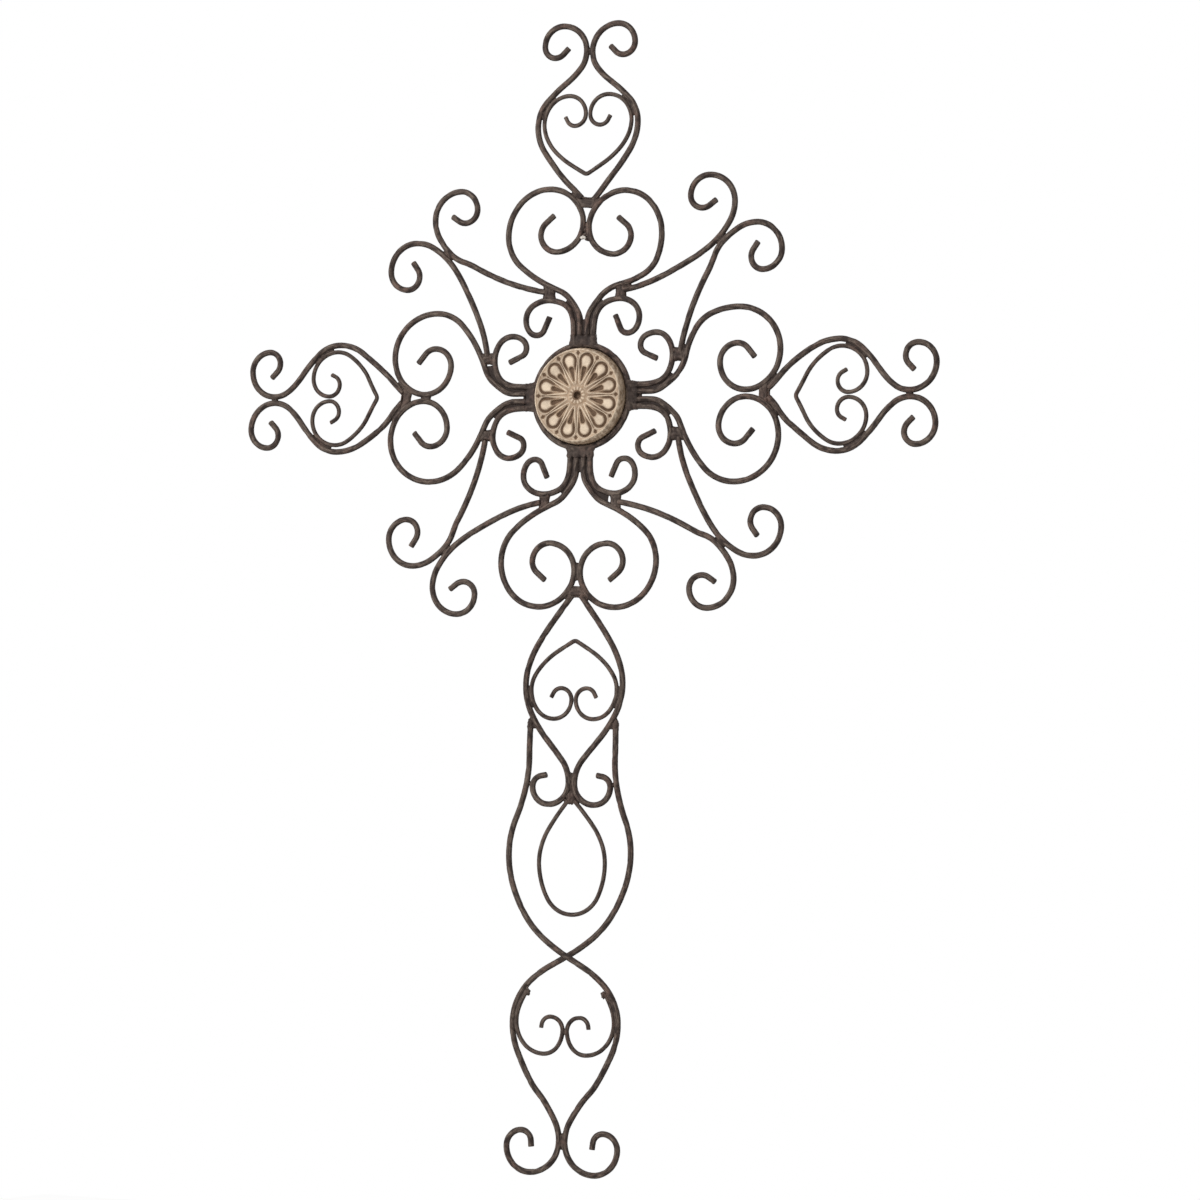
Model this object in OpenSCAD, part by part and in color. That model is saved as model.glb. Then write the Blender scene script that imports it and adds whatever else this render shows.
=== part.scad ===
// Hanging wall cross of welded round iron wire: four arms of paired scrolls round a
// cast rosette, three looped finials, and a long foot of crossed rails.
// Each wire is bent in the wall plane (X across, Z up). The front faces -Y.
// Wires are drawn for an upright arm, x across it and z out from the hub's centre,
// and are turned and mirrored into place. The origin is the nail that the cross hangs on.

/* [Wire] */
// Diameter of the heavy wire, used for scrolls, finials and rails
rod_d = 4.8; // [4:0.1:6]
// Diameter of the thin wire, used for hearts, teardrop and foot curls
thin_d = 3.5; // [2.5:0.1:4.5]
// Gap left between two wires that touch, which the weld bridges
weld_gap = 0.3; // [0.2:0.05:0.5]

/* [Hub] */
// Radius of the hub ring's centreline
ring_r = 40.9; // [36:0.5:46]
// Depth by which the rosette stands in front of the ring's centreline
rosette_proud = 10; // [7:0.5:13]
// Width of the rosette's rounded side, from its edge in to its face
rosette_side = 4; // [3:0.5:6]
// Radius of the hole in the middle of the rosette
rosette_hole_r = 3.2; // [2:0.2:4.5]
// Length of a saddle, from the ring out to the wire ends
saddle_len = 5; // [4:0.5:7]
// Space between the two middle wires of a saddle
middle_space = 1.4; // [0.8:0.1:2]
// Space between a middle wire and the outer wire beside it
side_space = 0.7; // [0.4:0.1:1.2]

/* [Hub curls] */
// Reach of a hub curl's top, across from where its wire leaves the saddle
hub_top_reach = 22.4; // [20:0.1:26]
// Rise of a hub curl's top over the saddle
hub_top_rise = 28.4; // [25:0.1:33]
// Reach of a hub curl's widest point, across from where its wire leaves the saddle
hub_side_reach = 40.4; // [38:0.1:44]
// Drop of a hub curl's widest point under its top
hub_side_drop = 15; // [13:0.5:18]
// Reach of a hub curl's widest point beyond its lowest point
hub_eye_r = 9.8; // [8:0.1:11.5]
// Straight length at the end of a hub curl
hub_tail = 11.5; // [7:0.5:13]

/* [Big scrolls] */
// Rise over the saddle of the seam where an arm's two big scrolls touch
seam_rise = 89.9; // [76:0.1:108]
// Radius of a big scroll's curl beside the seam
big_curl_r = 22.3; // [20:0.1:24.5]
// Distance across to the scroll's outermost point
big_top_x = 33; // [29:0.5:37]
// Rise of the outermost point over the seam
big_top_rise = 28; // [25:0.5:31]
// Distance across to the scroll's widest point
big_side_x = 67.5; // [62:0.5:72]
// Drop of the widest point under the seam
big_side_drop = 8; // [4:0.5:12]

/* [Corner scrolls] */
// Rise of the seam of the two scrolls in a corner over the hub curls' tops
corner_rise = 41; // [36:0.5:49]
// Reach of a corner scroll's widest point, across from the seam
corner_side_reach = 12; // [10:0.5:15]
// Rise of a corner scroll's widest point over the seam
corner_side_rise = 29.5; // [27:0.5:33]
// Radius of a corner scroll's curl beside its widest point
corner_curl_r = 22; // [20:0.1:24]
// Turn of all the corner scrolls about the hub, as the cross was put together
corner_twist = 1.3; // [0:0.1:1.6]

/* [Finials] */
// Rise of a finial loop's widest point over the big scrolls' seam
loop_rise = 78; // [70:0.5:94]
// Rise of the waist between a finial's loop and its end curls over the widest point
waist_rise = 33.8; // [30:0.2:38]
// Rise of the seam of a finial's two wires over the waist
finial_rise = 24.7; // [21:0.1:29]
// Radius of a finial's end curl beside the seam
finial_curl_r = 21; // [18:0.1:24]
// Distance across to the widest point of a finial's loop
loop_side_x = 43.3; // [40:0.5:48]
// Distance across to the waist
waist_x = 19; // [17:0.5:22]

/* [Hearts] */
// Drop of a heart's point under the widest point of the loop that holds it
heart_drop = 36; // [32:0.5:40]
// Length of a finial's heart from its point to its seam
heart_len = 44.3; // [41:0.5:48]
// Length of the lower heart from its point to its seam
low_heart_len = 46.3; // [43:0.5:50]
// Drop of the lower heart's point under the widest point of the shaft scrolls
low_heart_drop = 34.5; // [31:0.5:38]
// Radius over a heart's lobe beside the seam
heart_curl_r = 15; // [13.5:0.1:16]

/* [Foot] */
// Distance from the big scrolls' seam to the widest point of a shaft scroll
shaft_rise = 89; // [80:0.5:107]
// Distance across to the widest point of a shaft scroll
shaft_side_x = 41.7; // [38:0.1:45]
// Distance from there to the seam of the two shaft scrolls
shaft_seam_rise = 77; // [72:0.5:92]
// Radius of a shaft scroll's curl beside the seam
shaft_curl_r = 17; // [15:0.1:19]
// Distance from the shaft scrolls' seam to where the side rails cross
cross_rise = 135; // [128:0.5:162]
// Distance across to the widest point of a rail above the crossing
rail_upper_x = 51.8; // [48:0.5:56]
// Distance across to the widest point of a rail below the crossing
rail_lower_x = 46; // [43:0.5:49]
// Distance from the crossing to the seam of the rails at the foot
rail_seam_rise = 144.5; // [136:0.5:173]
// Radius of a rail's end curl beside the seam
rail_curl_r = 25; // [21:0.1:28]
// Distance across to the widest point of the teardrop
drop_side_x = 28.3; // [25:0.5:31]
// Distance from the teardrop's bottom to the crossing under it
drop_gap = 32; // [28:0.5:36]
// Distance from the crossing to the seam of the two foot curls
foot_seam_rise = 58.5; // [54:0.5:63]
// Radius of a foot curl's eye beside its seam
foot_curl_r = 10.6; // [9:0.1:12]
// Tilt of the teardrop, which hangs a little off the middle line
drop_tilt = 2.6; // [0:0.2:3]

/* [Hidden] */
$fn = 32;
iron = [0.24, 0.19, 0.16];
cream = [0.84, 0.75, 0.62];
rod_r = rod_d / 2;
thin_r = thin_d / 2;
half_gap = weld_gap / 2;
touch = rod_d + weld_gap;                           // centre distance of two rods that touch
mixed_touch = rod_r + thin_r + weld_gap;            // the same for a rod and a thin wire
rod_seam = touch / 2;                               // centreline of a rod at a seam
thin_seam = thin_r + half_gap;                      // the same for a thin wire
ring_out = ring_r + rod_r;
saddle_top = ring_out + saddle_len;
wire_start = saddle_top + weld_gap;                 // where wires begin over a saddle
middle_x = rod_r + middle_space / 2;
outer_x = middle_x + rod_d + side_space;
lift = touch / 2;                                   // how far each rail leaves the plane to cross
bite = 0.2;                                         // how far a slim stretch runs into its neighbour
step = 0.02;                                        // how much slimmer it is than its neighbour
saddle_flare = 1.6;                                 // how much wider a saddle is at the ring
rosette_r = ring_r - rod_r - weld_gap;
rosette_back = rod_r;                               // how far it reaches behind the ring's centreline
face_r = rosette_r - rosette_side;
hole_depth = 6;
petals = 12;
petal_x = 26.5;                                     // from the axis to a petal's middle
petal_r = 5;
petal_depth = 0.9;
groove_in = 11;                                     // a petal's groove, from the axis
groove_out = 22;
groove_r = 2.2;
groove_depth = 0.8;
flat_bend = 0.001;                                  // a bend flatter than this share is drawn straight
vee_rise = 11.5;                                    // from the last of a stack of rods up to a V's wires
nail_drop = 9.5;                                    // from a finial's seam back to the nail
drop_rise = 13.6;                                   // from the shaft scrolls' seam to the teardrop's top

// Distances out from the hub's centre, one built on another
hub_top_x = outer_x + hub_top_reach;
hub_top_z = wire_start + hub_top_rise;
hub_side_x = outer_x + hub_side_reach;
hub_side_z = hub_top_z - hub_side_drop;
seam_z = wire_start + seam_rise;
vee_z = seam_z + 1.5 * touch + vee_rise;            // wires that spring from between two big scrolls
corner_seam = hub_top_z + corner_rise;
corner_side_x = corner_seam + corner_side_reach;
corner_side_z = corner_seam + corner_side_rise;
loop_side_z = seam_z + loop_rise;
waist_z = loop_side_z + waist_rise;
finial_seam_z = waist_z + finial_rise;
nail_z = finial_seam_z - nail_drop;                 // the nail sits in the crotch under the seam
heart_point_z = loop_side_z - heart_drop;
shaft_side_z = seam_z + shaft_rise;
shaft_seam_z = shaft_side_z + shaft_seam_rise;
low_heart_point_z = shaft_side_z - low_heart_drop;
cross_z = shaft_seam_z + cross_rise;
rail_seam_z = cross_z + rail_seam_rise;
drop_top_z = shaft_seam_z + drop_rise;
drop_bottom_z = cross_z - drop_gap;
foot_seam_z = cross_z + foot_seam_rise;

// Radii of the curls from the seam in to the eye, one for each quarter turn
big_curl = big_curl_r * [1, 0.64, 0.52];
corner_curl = corner_curl_r * [1, 0.7, 0.47];
finial_curl = finial_curl_r * [1, 0.74, 0.46];
heart_curl = heart_curl_r * [1, 0.61, 0.5];
shaft_curl = shaft_curl_r * [1, 0.82, 0.5];
rail_curl = rail_curl_r * [1, 0.8, 0.5, 0.34];
foot_curl = foot_curl_r * [1, 0.72];

// ---- Wire courses: stations [x, z, heading], heading in degrees from +x towards +z ----

function heading_vector(a) = [cos(a), sin(a)];
function left_of(a) = [-sin(a), cos(a)];
function place(s) = [s[0], s[1]];

// The station reached from s by an arc of radius r turning by a signed angle.
function bend(s, r, turn) =
    let(way = sign(turn), p = place(s) + way * r * (left_of(s[2]) - left_of(s[2] + turn)))
    [p[0], p[1], s[2] + turn];

// The station turned about the hub's centre.
function turned(s, a) =
    [s[0] * cos(a) - s[1] * sin(a), s[0] * sin(a) + s[1] * cos(a), s[2] + a];

// The station moved across and out.
function shifted(s, x, z = 0) = [s[0] + x, s[1] + z, s[2]];

// The station a straight length further on.
function ahead(s, len) = [s[0] + len * cos(s[2]), s[1] + len * sin(s[2]), s[2]];

// Quarter bends of the given radii, one after another, the last one turning by last degrees.
function curl(s, radii, way, last, i = 0) =
    i == len(radii) ? [] :
    let(n = bend(s, radii[i], way * (i == len(radii) - 1 ? last : 90)))
    concat([n], curl(n, radii, way, last, i + 1));

// A curl with a straight tail.
function curl_with_tail(s, radii, way, last, tail) =
    let(c = curl(s, radii, way, last)) concat(c, [ahead(c[len(c) - 1], tail)]);

// The same course walked from its other end.
function reversed(list) = [for (i = [len(list) - 1:-1:0]) [list[i][0], list[i][1], list[i][2] + 180]];

// A half course from its free end to the middle, with its mirror image after it. A half
// that ends on the middle line gives that station once.
function both_halves(half) =
    let(last = len(half) - (half[len(half) - 1][0] == 0 ? 2 : 1))
    concat(half, [for (i = [last:-1:0]) [-half[i][0], half[i][1], -half[i][2]]]);

// Where the two arcs between stations a and b meet.
function meeting_point(a, b) =
    let(v = place(b) - place(a), t0 = heading_vector(a[2]), t1 = heading_vector(b[2]),
        vt = v * (t0 + t1), vv = v * v, den = 2 * (1 - t0 * t1),
        d = abs(den) < 1e-9 ? vv / (4 * (v * t1)) : (sqrt(vt * vt + den * vv) - vt) / den)
    (place(a) + place(b)) / 2 + d / 2 * (t0 - t1);

// Every arc of a course as [start, heading, end].
function arcs(course) = [for (i = [0:len(course) - 2], second = [false, true])
    let(a = course[i], b = course[i + 1], m = meeting_point(a, b),
        chord = atan2(m[1] - a[1], m[0] - a[0]))
    second ? [m, 2 * chord - a[2], place(b)] : [place(a), a[2], m]];

// One round stretch from p to q, leaving p at a heading, and lengthened at either end.
module stretch(p, heading, q, d, before, after) {
    v = q - p;
    side = v * left_of(heading);
    if (abs(side) < flat_bend * norm(v)) {
        s = p - before * heading_vector(heading);
        translate([s[0], 0, s[1]])
            rotate([0, 90 - atan2(v[1], v[0]), 0])
                cylinder(d = d, h = norm(v) + before + after);
    } else {
        r = v * v / (2 * side);
        c = p + r * left_of(heading);
        from_p = atan2(p[1] - c[1], p[0] - c[0]);
        from_q = atan2(q[1] - c[1], q[0] - c[0]);
        extra_p = before / abs(r) * 180 / PI;
        extra_q = after / abs(r) * 180 / PI;
        swept = (r > 0 ? from_q - from_p : from_p - from_q) + 720;
        start = r > 0 ? from_p - extra_p : from_q - extra_q;
        translate([c[0], 0, c[1]])
            rotate([90, 0, 0])
                rotate([0, 0, start])
                    rotate_extrude(angle = swept % 360 + extra_p + extra_q)
                        translate([abs(r), 0])
                            circle(d = d);
    }
}

// A wire along a course. Every other stretch is slimmer by a hair and runs into both
// neighbours, so that the stretches join along clean rings.
module wire(course, d, joined = false) {
    list = arcs(course);
    for (i = [0:len(list) - 1]) {
        slim = i % 2 == 0;
        stretch(list[i][0], list[i][1], list[i][2], slim ? d - 2 * step : d,
                slim && (i > 0 || joined) ? bite : 0, slim && i < len(list) - 1 ? bite : 0);
    }
}

// ---- The wires of an arm ----

// A course that differs from side to side takes that side's bent = [across, out, wider,
// neck, curl]: see ARMS.
function big_outer(wider) = concat(
    reversed(curl_with_tail([rod_seam, seam_z, -90], big_curl, 1, 50, 9.5)), [
    [rod_seam, seam_z, 90],
    [rod_seam + 8.1, vee_z - 0.3, 46],
    [big_top_x + wider / 2, seam_z + big_top_rise, 0],
    [big_side_x + wider, seam_z - big_side_drop, -90]]);
function big_course(bent) = concat([for (s = big_outer(bent[2])) shifted(s, bent[0], bent[1])], [
    [hub_top_x + bent[3], hub_top_z + 2 * touch + 1.3 + 0.37 * bent[3], bent[3] / 4 - 155],
    [middle_x + 9.8, hub_top_z + 0.9, -131],
    [middle_x, wire_start + 10, -90],
    [middle_x, wire_start, -90]]);

function hub_course(across) =
    let(low = [hub_side_x - hub_eye_r + across, hub_side_z - hub_eye_r - 2.8, 180],
        turn = bend(low, hub_eye_r * 0.7, -66)) [
    [outer_x, wire_start, 90],
    [outer_x + 2.4, wire_start + 17.4, 68],
    [hub_top_x + across / 2, hub_top_z, 0],
    [hub_side_x + across, hub_side_z, -90],
    low, turn, ahead(turn, hub_tail)];

corner_offset = rod_seam / sqrt(2);
corner_outer = concat(
    reversed(curl_with_tail([corner_side_x, corner_side_z, 90], corner_curl, 1, 125, 7)), [
    [corner_side_x, corner_side_z, -90],
    [corner_seam - corner_offset, corner_seam + corner_offset, -135]]);
function corner_course(twist) = concat([for (s = corner_outer) turned(s, twist)], [
    turned([corner_seam - 24.5, corner_seam - 12.3, -151], twist / 2),
    [hub_top_x + 2.6, hub_top_z + touch + 1.5, -171]]);

finial_outer = concat(
    reversed(curl_with_tail([rod_seam, finial_seam_z, 90], finial_curl, -1, 135, 6.5)), [
    [rod_seam, finial_seam_z, -90],
    [waist_x, waist_z, -36],
    [loop_side_x, loop_side_z, -90]]);
function finial_course(sway, bent) = concat([for (s = finial_outer) shifted(s, sway)], [
    shifted([loop_side_x / 2 + 1.5, loop_side_z - 39.7, -130], sway * 0.4),
    [rod_seam + 1.3 + bent[0] - 0.5 * bent[1], vee_z + 0.2 + 0.5 * bent[1], -132]]);

// Half a heart from its eye to its point: p is the point's place out from the hub.
function half_heart(p, length, side_x, side_drop) =
    let(seam = [thin_seam, p + length, 90],
        eye = curl_with_tail([thin_seam, p + length, -90], [heart_curl[1], heart_curl[2]], 1, 62, 4))
    concat(reversed(eye), [
        seam,
        bend(seam, heart_curl[0], -90),
        [side_x, p + length - side_drop, -90],
        [side_x * 0.73, p + length * 0.39, -134],
        [2, p + 0.6, -150]]);
function heart_course(longer) = both_halves(
    half_heart(heart_point_z - longer, heart_len + longer, loop_side_x - mixed_touch - 1.1, 6.6));

// ---- The wires of the foot, z still measured out from the hub ----

shaft_course = concat([
    [rod_seam + 1.4, vee_z - 0.4, 53],
    [shaft_side_x - 10.7, shaft_side_z - 33, 58],
    [shaft_side_x, shaft_side_z, 90],
    [22.8, shaft_side_z + 42.5, 131],
    [rod_seam, shaft_seam_z, 90]],
    curl_with_tail([rod_seam, shaft_seam_z, 90], shaft_curl, -1, 80, 5));

low_heart_course = both_halves(
    half_heart(low_heart_point_z, low_heart_len, shaft_side_x - mixed_touch - 0.5, 8.2));

rail_touch_x = shaft_curl[0] + rod_seam + shaft_curl[1] + rod_d + weld_gap;
rail_upper = [
    [shaft_side_x - 5, shaft_side_z + 34, 88],
    [rail_touch_x + 0.1, shaft_seam_z + 2, 79],
    [rail_upper_x, cross_z - 80, 90],
    [rail_upper_x - 15.5, cross_z - 31.5, 123],
    [0, cross_z, 151]];
rail_lower = [
    [0, cross_z, 151],
    [15.2 - rail_lower_x, cross_z + 19.6, 138],
    [-rail_lower_x, cross_z + 52.5, 90],
    [16.4 - rail_lower_x, cross_z + 97.4, 59],
    [31.2 - rail_lower_x, cross_z + 116, 54],
    [-rod_seam, rail_seam_z, 90]];
rail_end = [-rod_seam, rail_seam_z, 90];
rail_foot = concat([rail_end], curl_with_tail(rail_end, rail_curl, 1, 85, 5));

drop_len = drop_bottom_z - drop_top_z;
drop_course = both_halves([
    [2.6, drop_top_z, 50],
    [drop_side_x - 8.3, drop_top_z + 0.252 * drop_len, 57],
    [drop_side_x, drop_bottom_z - 0.453 * drop_len, 90],
    [0, drop_bottom_z, 180]]);

foot_side_x = rail_lower_x - mixed_touch + 0.3;
foot_course = concat([
    [foot_side_x - 8.2, foot_seam_z - 30, 58],
    [foot_side_x, foot_seam_z - 6.5, 90],
    [18, foot_seam_z + 18.5, 180],
    [thin_seam, foot_seam_z, -90]],
    curl_with_tail([thin_seam, foot_seam_z, -90], foot_curl, 1, 82, 2.5));

// ---- Pieces ----

// Puts an arm's child in place: turned to its arm, and mirrored for the arm's other side.
// The nail is in the top finial, which leans, so the hub is a little off to one side of it.
module in_arm(arm, side = 1) {
    translate([-ARMS[0][4], 0, -nail_z])
        rotate([0, arm[1], 0])
            mirror([side < 0 ? 1 : 0, 0, 0])
                children();
}

module big_scroll(bent) {
    color(iron) wire(big_course(bent), rod_d);
}

module hub_curl(across) {
    color(iron) wire(hub_course(across), rod_d);
}

module corner_scroll(twist) {
    color(iron) wire(corner_course(twist), rod_d);
}

module finial_scroll(sway, bent) {
    color(iron) wire(finial_course(sway, bent), rod_d);
}

module heart(sway, longer) {
    color(iron) translate([sway, 0, 0]) wire(heart_course(longer), thin_d);
}

module lower_heart() {
    color(iron) wire(low_heart_course, thin_d);
}

module shaft_scroll() {
    color(iron) wire(shaft_course, rod_d);
}

// A rail leaves the wall plane to pass its twin, on the front with way 1 and behind with -1:
// it tilts out from its top to the crossing and back in from there to the foot.
module side_rail(way) {
    color(iron) {
        translate([0, -way * lift, cross_z])
            rotate([way * asin(lift / (cross_z - rail_upper[0][1])), 0, 0])
                translate([0, 0, -cross_z])
                    wire(rail_upper, rod_d);
        translate([0, -way * lift, cross_z])
            rotate([-way * asin(lift / (rail_seam_z - cross_z)), 0, 0])
                translate([0, 0, -cross_z])
                    wire(rail_lower, rod_d, true);
        wire(rail_foot, rod_d, true);
    }
}

module teardrop() {
    color(iron)
        translate([0, 0, drop_top_z])
            rotate([0, -drop_tilt, 0])
                translate([0, 0, -drop_top_z])
                    wire(drop_course, thin_d);
}

module foot_curl() {
    color(iron) wire(foot_course, thin_d);
}

// The welded-on block that gathers an arm's four wires on the ring.
module saddle() {
    top_x = outer_x + rod_r + 0.4;
    foot_x = top_x + saddle_flare;
    color(iron)
        translate([0, rod_r, 0])
            rotate([90, 0, 0])
                linear_extrude(rod_d)
                    difference() {
                        polygon([[-foot_x, ring_r], [foot_x, ring_r],
                                 [top_x, saddle_top - saddle_len / 2], [top_x, saddle_top],
                                 [-top_x, saddle_top], [-top_x, saddle_top - saddle_len / 2]]);
                        circle(ring_out + weld_gap);
                    }
}

module hub_ring() {
    color(iron)
        rotate([90, 0, 0])
            rotate_extrude()
                translate([ring_r, 0])
                    circle(d = rod_d);
}

// Outline of the rosette from its axis out, with height measured towards the front.
function rosette_outline() = concat(
    [[0, -rosette_back], [rosette_r, -rosette_back], [rosette_r, 0]],
    [for (t = [15:15:90]) [face_r + rosette_side * cos(t), rosette_proud * sin(t)]],
    [[rosette_hole_r, rosette_proud], [rosette_hole_r, rosette_proud - hole_depth],
     [0, rosette_proud - hole_depth]]);

// The cast rosette: a thick button with twelve dished petals, each with a groove.
module rosette() {
    dish_r = petal_r * petal_r / (2 * petal_depth) + petal_depth / 2;
    color(cream)
        rotate([90, 0, 0])
            difference() {
                rotate_extrude() polygon(rosette_outline());
                for (k = [0:petals - 1]) rotate([0, 0, (k + 0.5) * 360 / petals]) {
                    translate([petal_x, 0, rosette_proud + dish_r - petal_depth])
                        sphere(dish_r);
                    translate([groove_in, 0, rosette_proud + groove_r - groove_depth])
                        rotate([0, 90, 0])
                            cylinder(r = groove_r, h = groove_out - groove_in);
                }
            }
}

// ---- Nodes ----

// Each arm: its name, its turn from upright and the names of its two sides. Then how the
// hand bending left it: how far its finial leans to the first side and how much longer its
// heart is. Then for the first and the second side [across, out, wider, neck, curl]: the
// shifts of the big scroll across and out, how much wider the scroll is, how far out its
// neck runs, and the shift of the hub curl across.
ARMS = [
    ["top", 0, "right", "left", -1.2, 3.5, [-0.3, -3.9, -2, 20, -1.2], [0.3, -0.7, 0, 0, 1.4]],
    ["right", 90, "lower", "upper", 3, -1, [0.2, 1.2, 1.2, 1, 0], [0.1, 1.2, 0, 20, 0.4]],
    ["bottom", 180, "left", "right", 0, 0, [0, -0.4, -1, 0, 0], [0, 0, 0, 0, -1.4]],
    ["left", 270, "upper", "lower", 2.6, -1, [1.7, -0.5, 0, 4, 0], [-1.5, 1.6, 0, 0, -1]]];
FOOT = ARMS[2];
LOOPED = [ARMS[0], ARMS[1], ARMS[3]];
SIDES = [1, -1];

function side_name(arm, side) = side > 0 ? arm[2] : arm[3];
function bent_of(arm, side) = side > 0 ? arm[6] : arm[7];
function named(arm, piece, side) = str(arm[0], "_", piece, "_", side_name(arm, side));

in_arm(ARMS[0]) hub_ring();
in_arm(ARMS[0]) rosette();
in_arm(FOOT) lower_heart();
in_arm(FOOT) teardrop();
for (a = ARMS) {
    in_arm(a) saddle();
    for (s = SIDES) {
        in_arm(a, s) big_scroll(bent_of(a, s));
        in_arm(a, s) hub_curl(bent_of(a, s)[4]);
        in_arm(a, s) corner_scroll(s * corner_twist);
    }
}
for (a = LOOPED) {
    in_arm(a) heart(a[4], a[5]);
    for (s = SIDES)
        in_arm(a, s) finial_scroll(s * a[4], bent_of(a, s));
}
for (s = SIDES) {
    in_arm(FOOT, s) shaft_scroll();
    in_arm(FOOT, s) side_rail(s);
    in_arm(FOOT, s) foot_curl();
}
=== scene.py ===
"""A hanging wall cross of round iron wire, bent into scrolls and welded round a cast rosette.

Every wire is a round profile carried along its course in the wall plane, the rosette is a
relief over polar coordinates, and the welds are lumpy rounded blocks. Lengths inside the
functions are in millimetres, in an arm's own frame: x across the arm, z out from the hub.
"""

import math
from types import SimpleNamespace

import bpy
import numpy as np
from bpy.props import FloatProperty, FloatVectorProperty, IntProperty, PointerProperty
from bpy.types import Operator, Panel, PropertyGroup
from mathutils import Matrix, Vector


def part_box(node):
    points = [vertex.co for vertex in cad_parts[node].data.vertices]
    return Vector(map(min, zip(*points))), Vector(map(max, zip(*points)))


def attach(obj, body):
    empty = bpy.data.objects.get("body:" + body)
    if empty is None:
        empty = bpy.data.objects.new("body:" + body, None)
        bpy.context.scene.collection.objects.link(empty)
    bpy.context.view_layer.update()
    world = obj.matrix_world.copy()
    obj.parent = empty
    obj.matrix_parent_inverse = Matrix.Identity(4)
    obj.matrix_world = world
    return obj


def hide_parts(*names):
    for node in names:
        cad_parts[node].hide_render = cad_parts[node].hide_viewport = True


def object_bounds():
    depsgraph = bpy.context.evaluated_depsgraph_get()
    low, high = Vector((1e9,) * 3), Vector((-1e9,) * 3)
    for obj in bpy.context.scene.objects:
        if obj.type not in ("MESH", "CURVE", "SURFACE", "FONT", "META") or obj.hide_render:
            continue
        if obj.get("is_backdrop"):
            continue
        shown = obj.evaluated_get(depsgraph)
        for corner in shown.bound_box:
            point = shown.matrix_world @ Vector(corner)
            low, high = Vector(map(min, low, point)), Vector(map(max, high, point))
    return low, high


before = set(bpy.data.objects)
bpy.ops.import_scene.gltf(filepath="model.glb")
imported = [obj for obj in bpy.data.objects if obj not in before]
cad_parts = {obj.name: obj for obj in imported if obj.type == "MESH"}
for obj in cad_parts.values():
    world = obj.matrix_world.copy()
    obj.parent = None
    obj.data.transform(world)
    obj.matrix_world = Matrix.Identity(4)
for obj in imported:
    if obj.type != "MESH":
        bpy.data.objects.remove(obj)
CAD_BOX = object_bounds()

bl_info = {
    "name": "Forged Wall Cross",
    "version": (1, 0, 0),
    "blender": (4, 5, 0),
    "location": "3D View > Sidebar > Wall Cross",
    "description": "Bends, welds and paints a scrolled iron wall cross with a cast rosette",
    "category": "Add Mesh",
}

MM = 0.001


# ---- Sizes ----


def node_size(node):
    """Width, depth and height of a CAD node in millimetres."""
    low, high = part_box(node)
    return (high - low) / MM


def node_centre(node):
    """Middle of a CAD node's box in metres."""
    low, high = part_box(node)
    return (low + high) / 2


HUB = node_centre("hub_ring")
ROD_D = node_size("hub_ring").y
THIN_D = node_size("teardrop").y
RING_R = (node_size("hub_ring").x - ROD_D) / 2
ROSETTE_R = node_size("rosette").x / 2
ROSETTE_PROUD = -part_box("rosette")[0].y / MM


def size(name, text, mm):
    """A length property with its default in millimetres."""
    return FloatProperty(name=name, description=text, default=mm * MM, unit="LENGTH", precision=5)


def colour(name, text, rgb):
    """A colour property, linear, without alpha."""
    return FloatVectorProperty(name=name, description=text, default=rgb, size=3,
                               subtype="COLOR", min=0, max=1)


class WireSizes(PropertyGroup):
    """The two wires, and how far they were hammered."""

    rod_d: size("Rod", "Diameter of the heavy wire of scrolls, finials and rails", ROD_D)
    thin_d: size("Thin wire", "Diameter of the wire of hearts, teardrop and foot curls", THIN_D)
    weld_gap: size("Weld gap", "Gap between two wires that touch, which the weld bridges", 0.3)
    hammer_depth: size("Hammer depth", "Depth of the flats left by the hammer", 0.16)
    ring_spacing: size("Ring spacing", "Distance between the mesh's rings along a wire", 0.9)
    sides: IntProperty(name="Sides", description="Sides of a wire's mesh", default=24, min=8)


class HubSizes(PropertyGroup):
    """The ring, the saddles on it and the curls beside them."""

    ring_r: size("Ring", "Radius of the hub ring's centre line", RING_R)
    saddle_len: size("Saddle", "Length of a saddle from the ring out to the wire ends", 5)
    middle_space: size("Middle space", "Space between a saddle's two middle wires", 1.4)
    side_space: size("Side space", "Space between a middle wire and the outer wire beside it", 0.7)
    top_reach: size("Curl top reach", "Reach of a hub curl's top across from its start", 22.4)
    top_rise: size("Curl top rise", "Rise of a hub curl's top over the saddle", 28.4)
    side_reach: size("Curl side reach", "Reach of a hub curl's widest point from its start", 40.4)
    side_drop: size("Curl side drop", "Drop of a hub curl's widest point under its top", 15)
    eye_r: size("Curl eye", "Reach of a hub curl's widest point beyond its lowest point", 9.8)
    tail: size("Curl tail", "Straight length at the end of a hub curl", 11.5)


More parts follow.
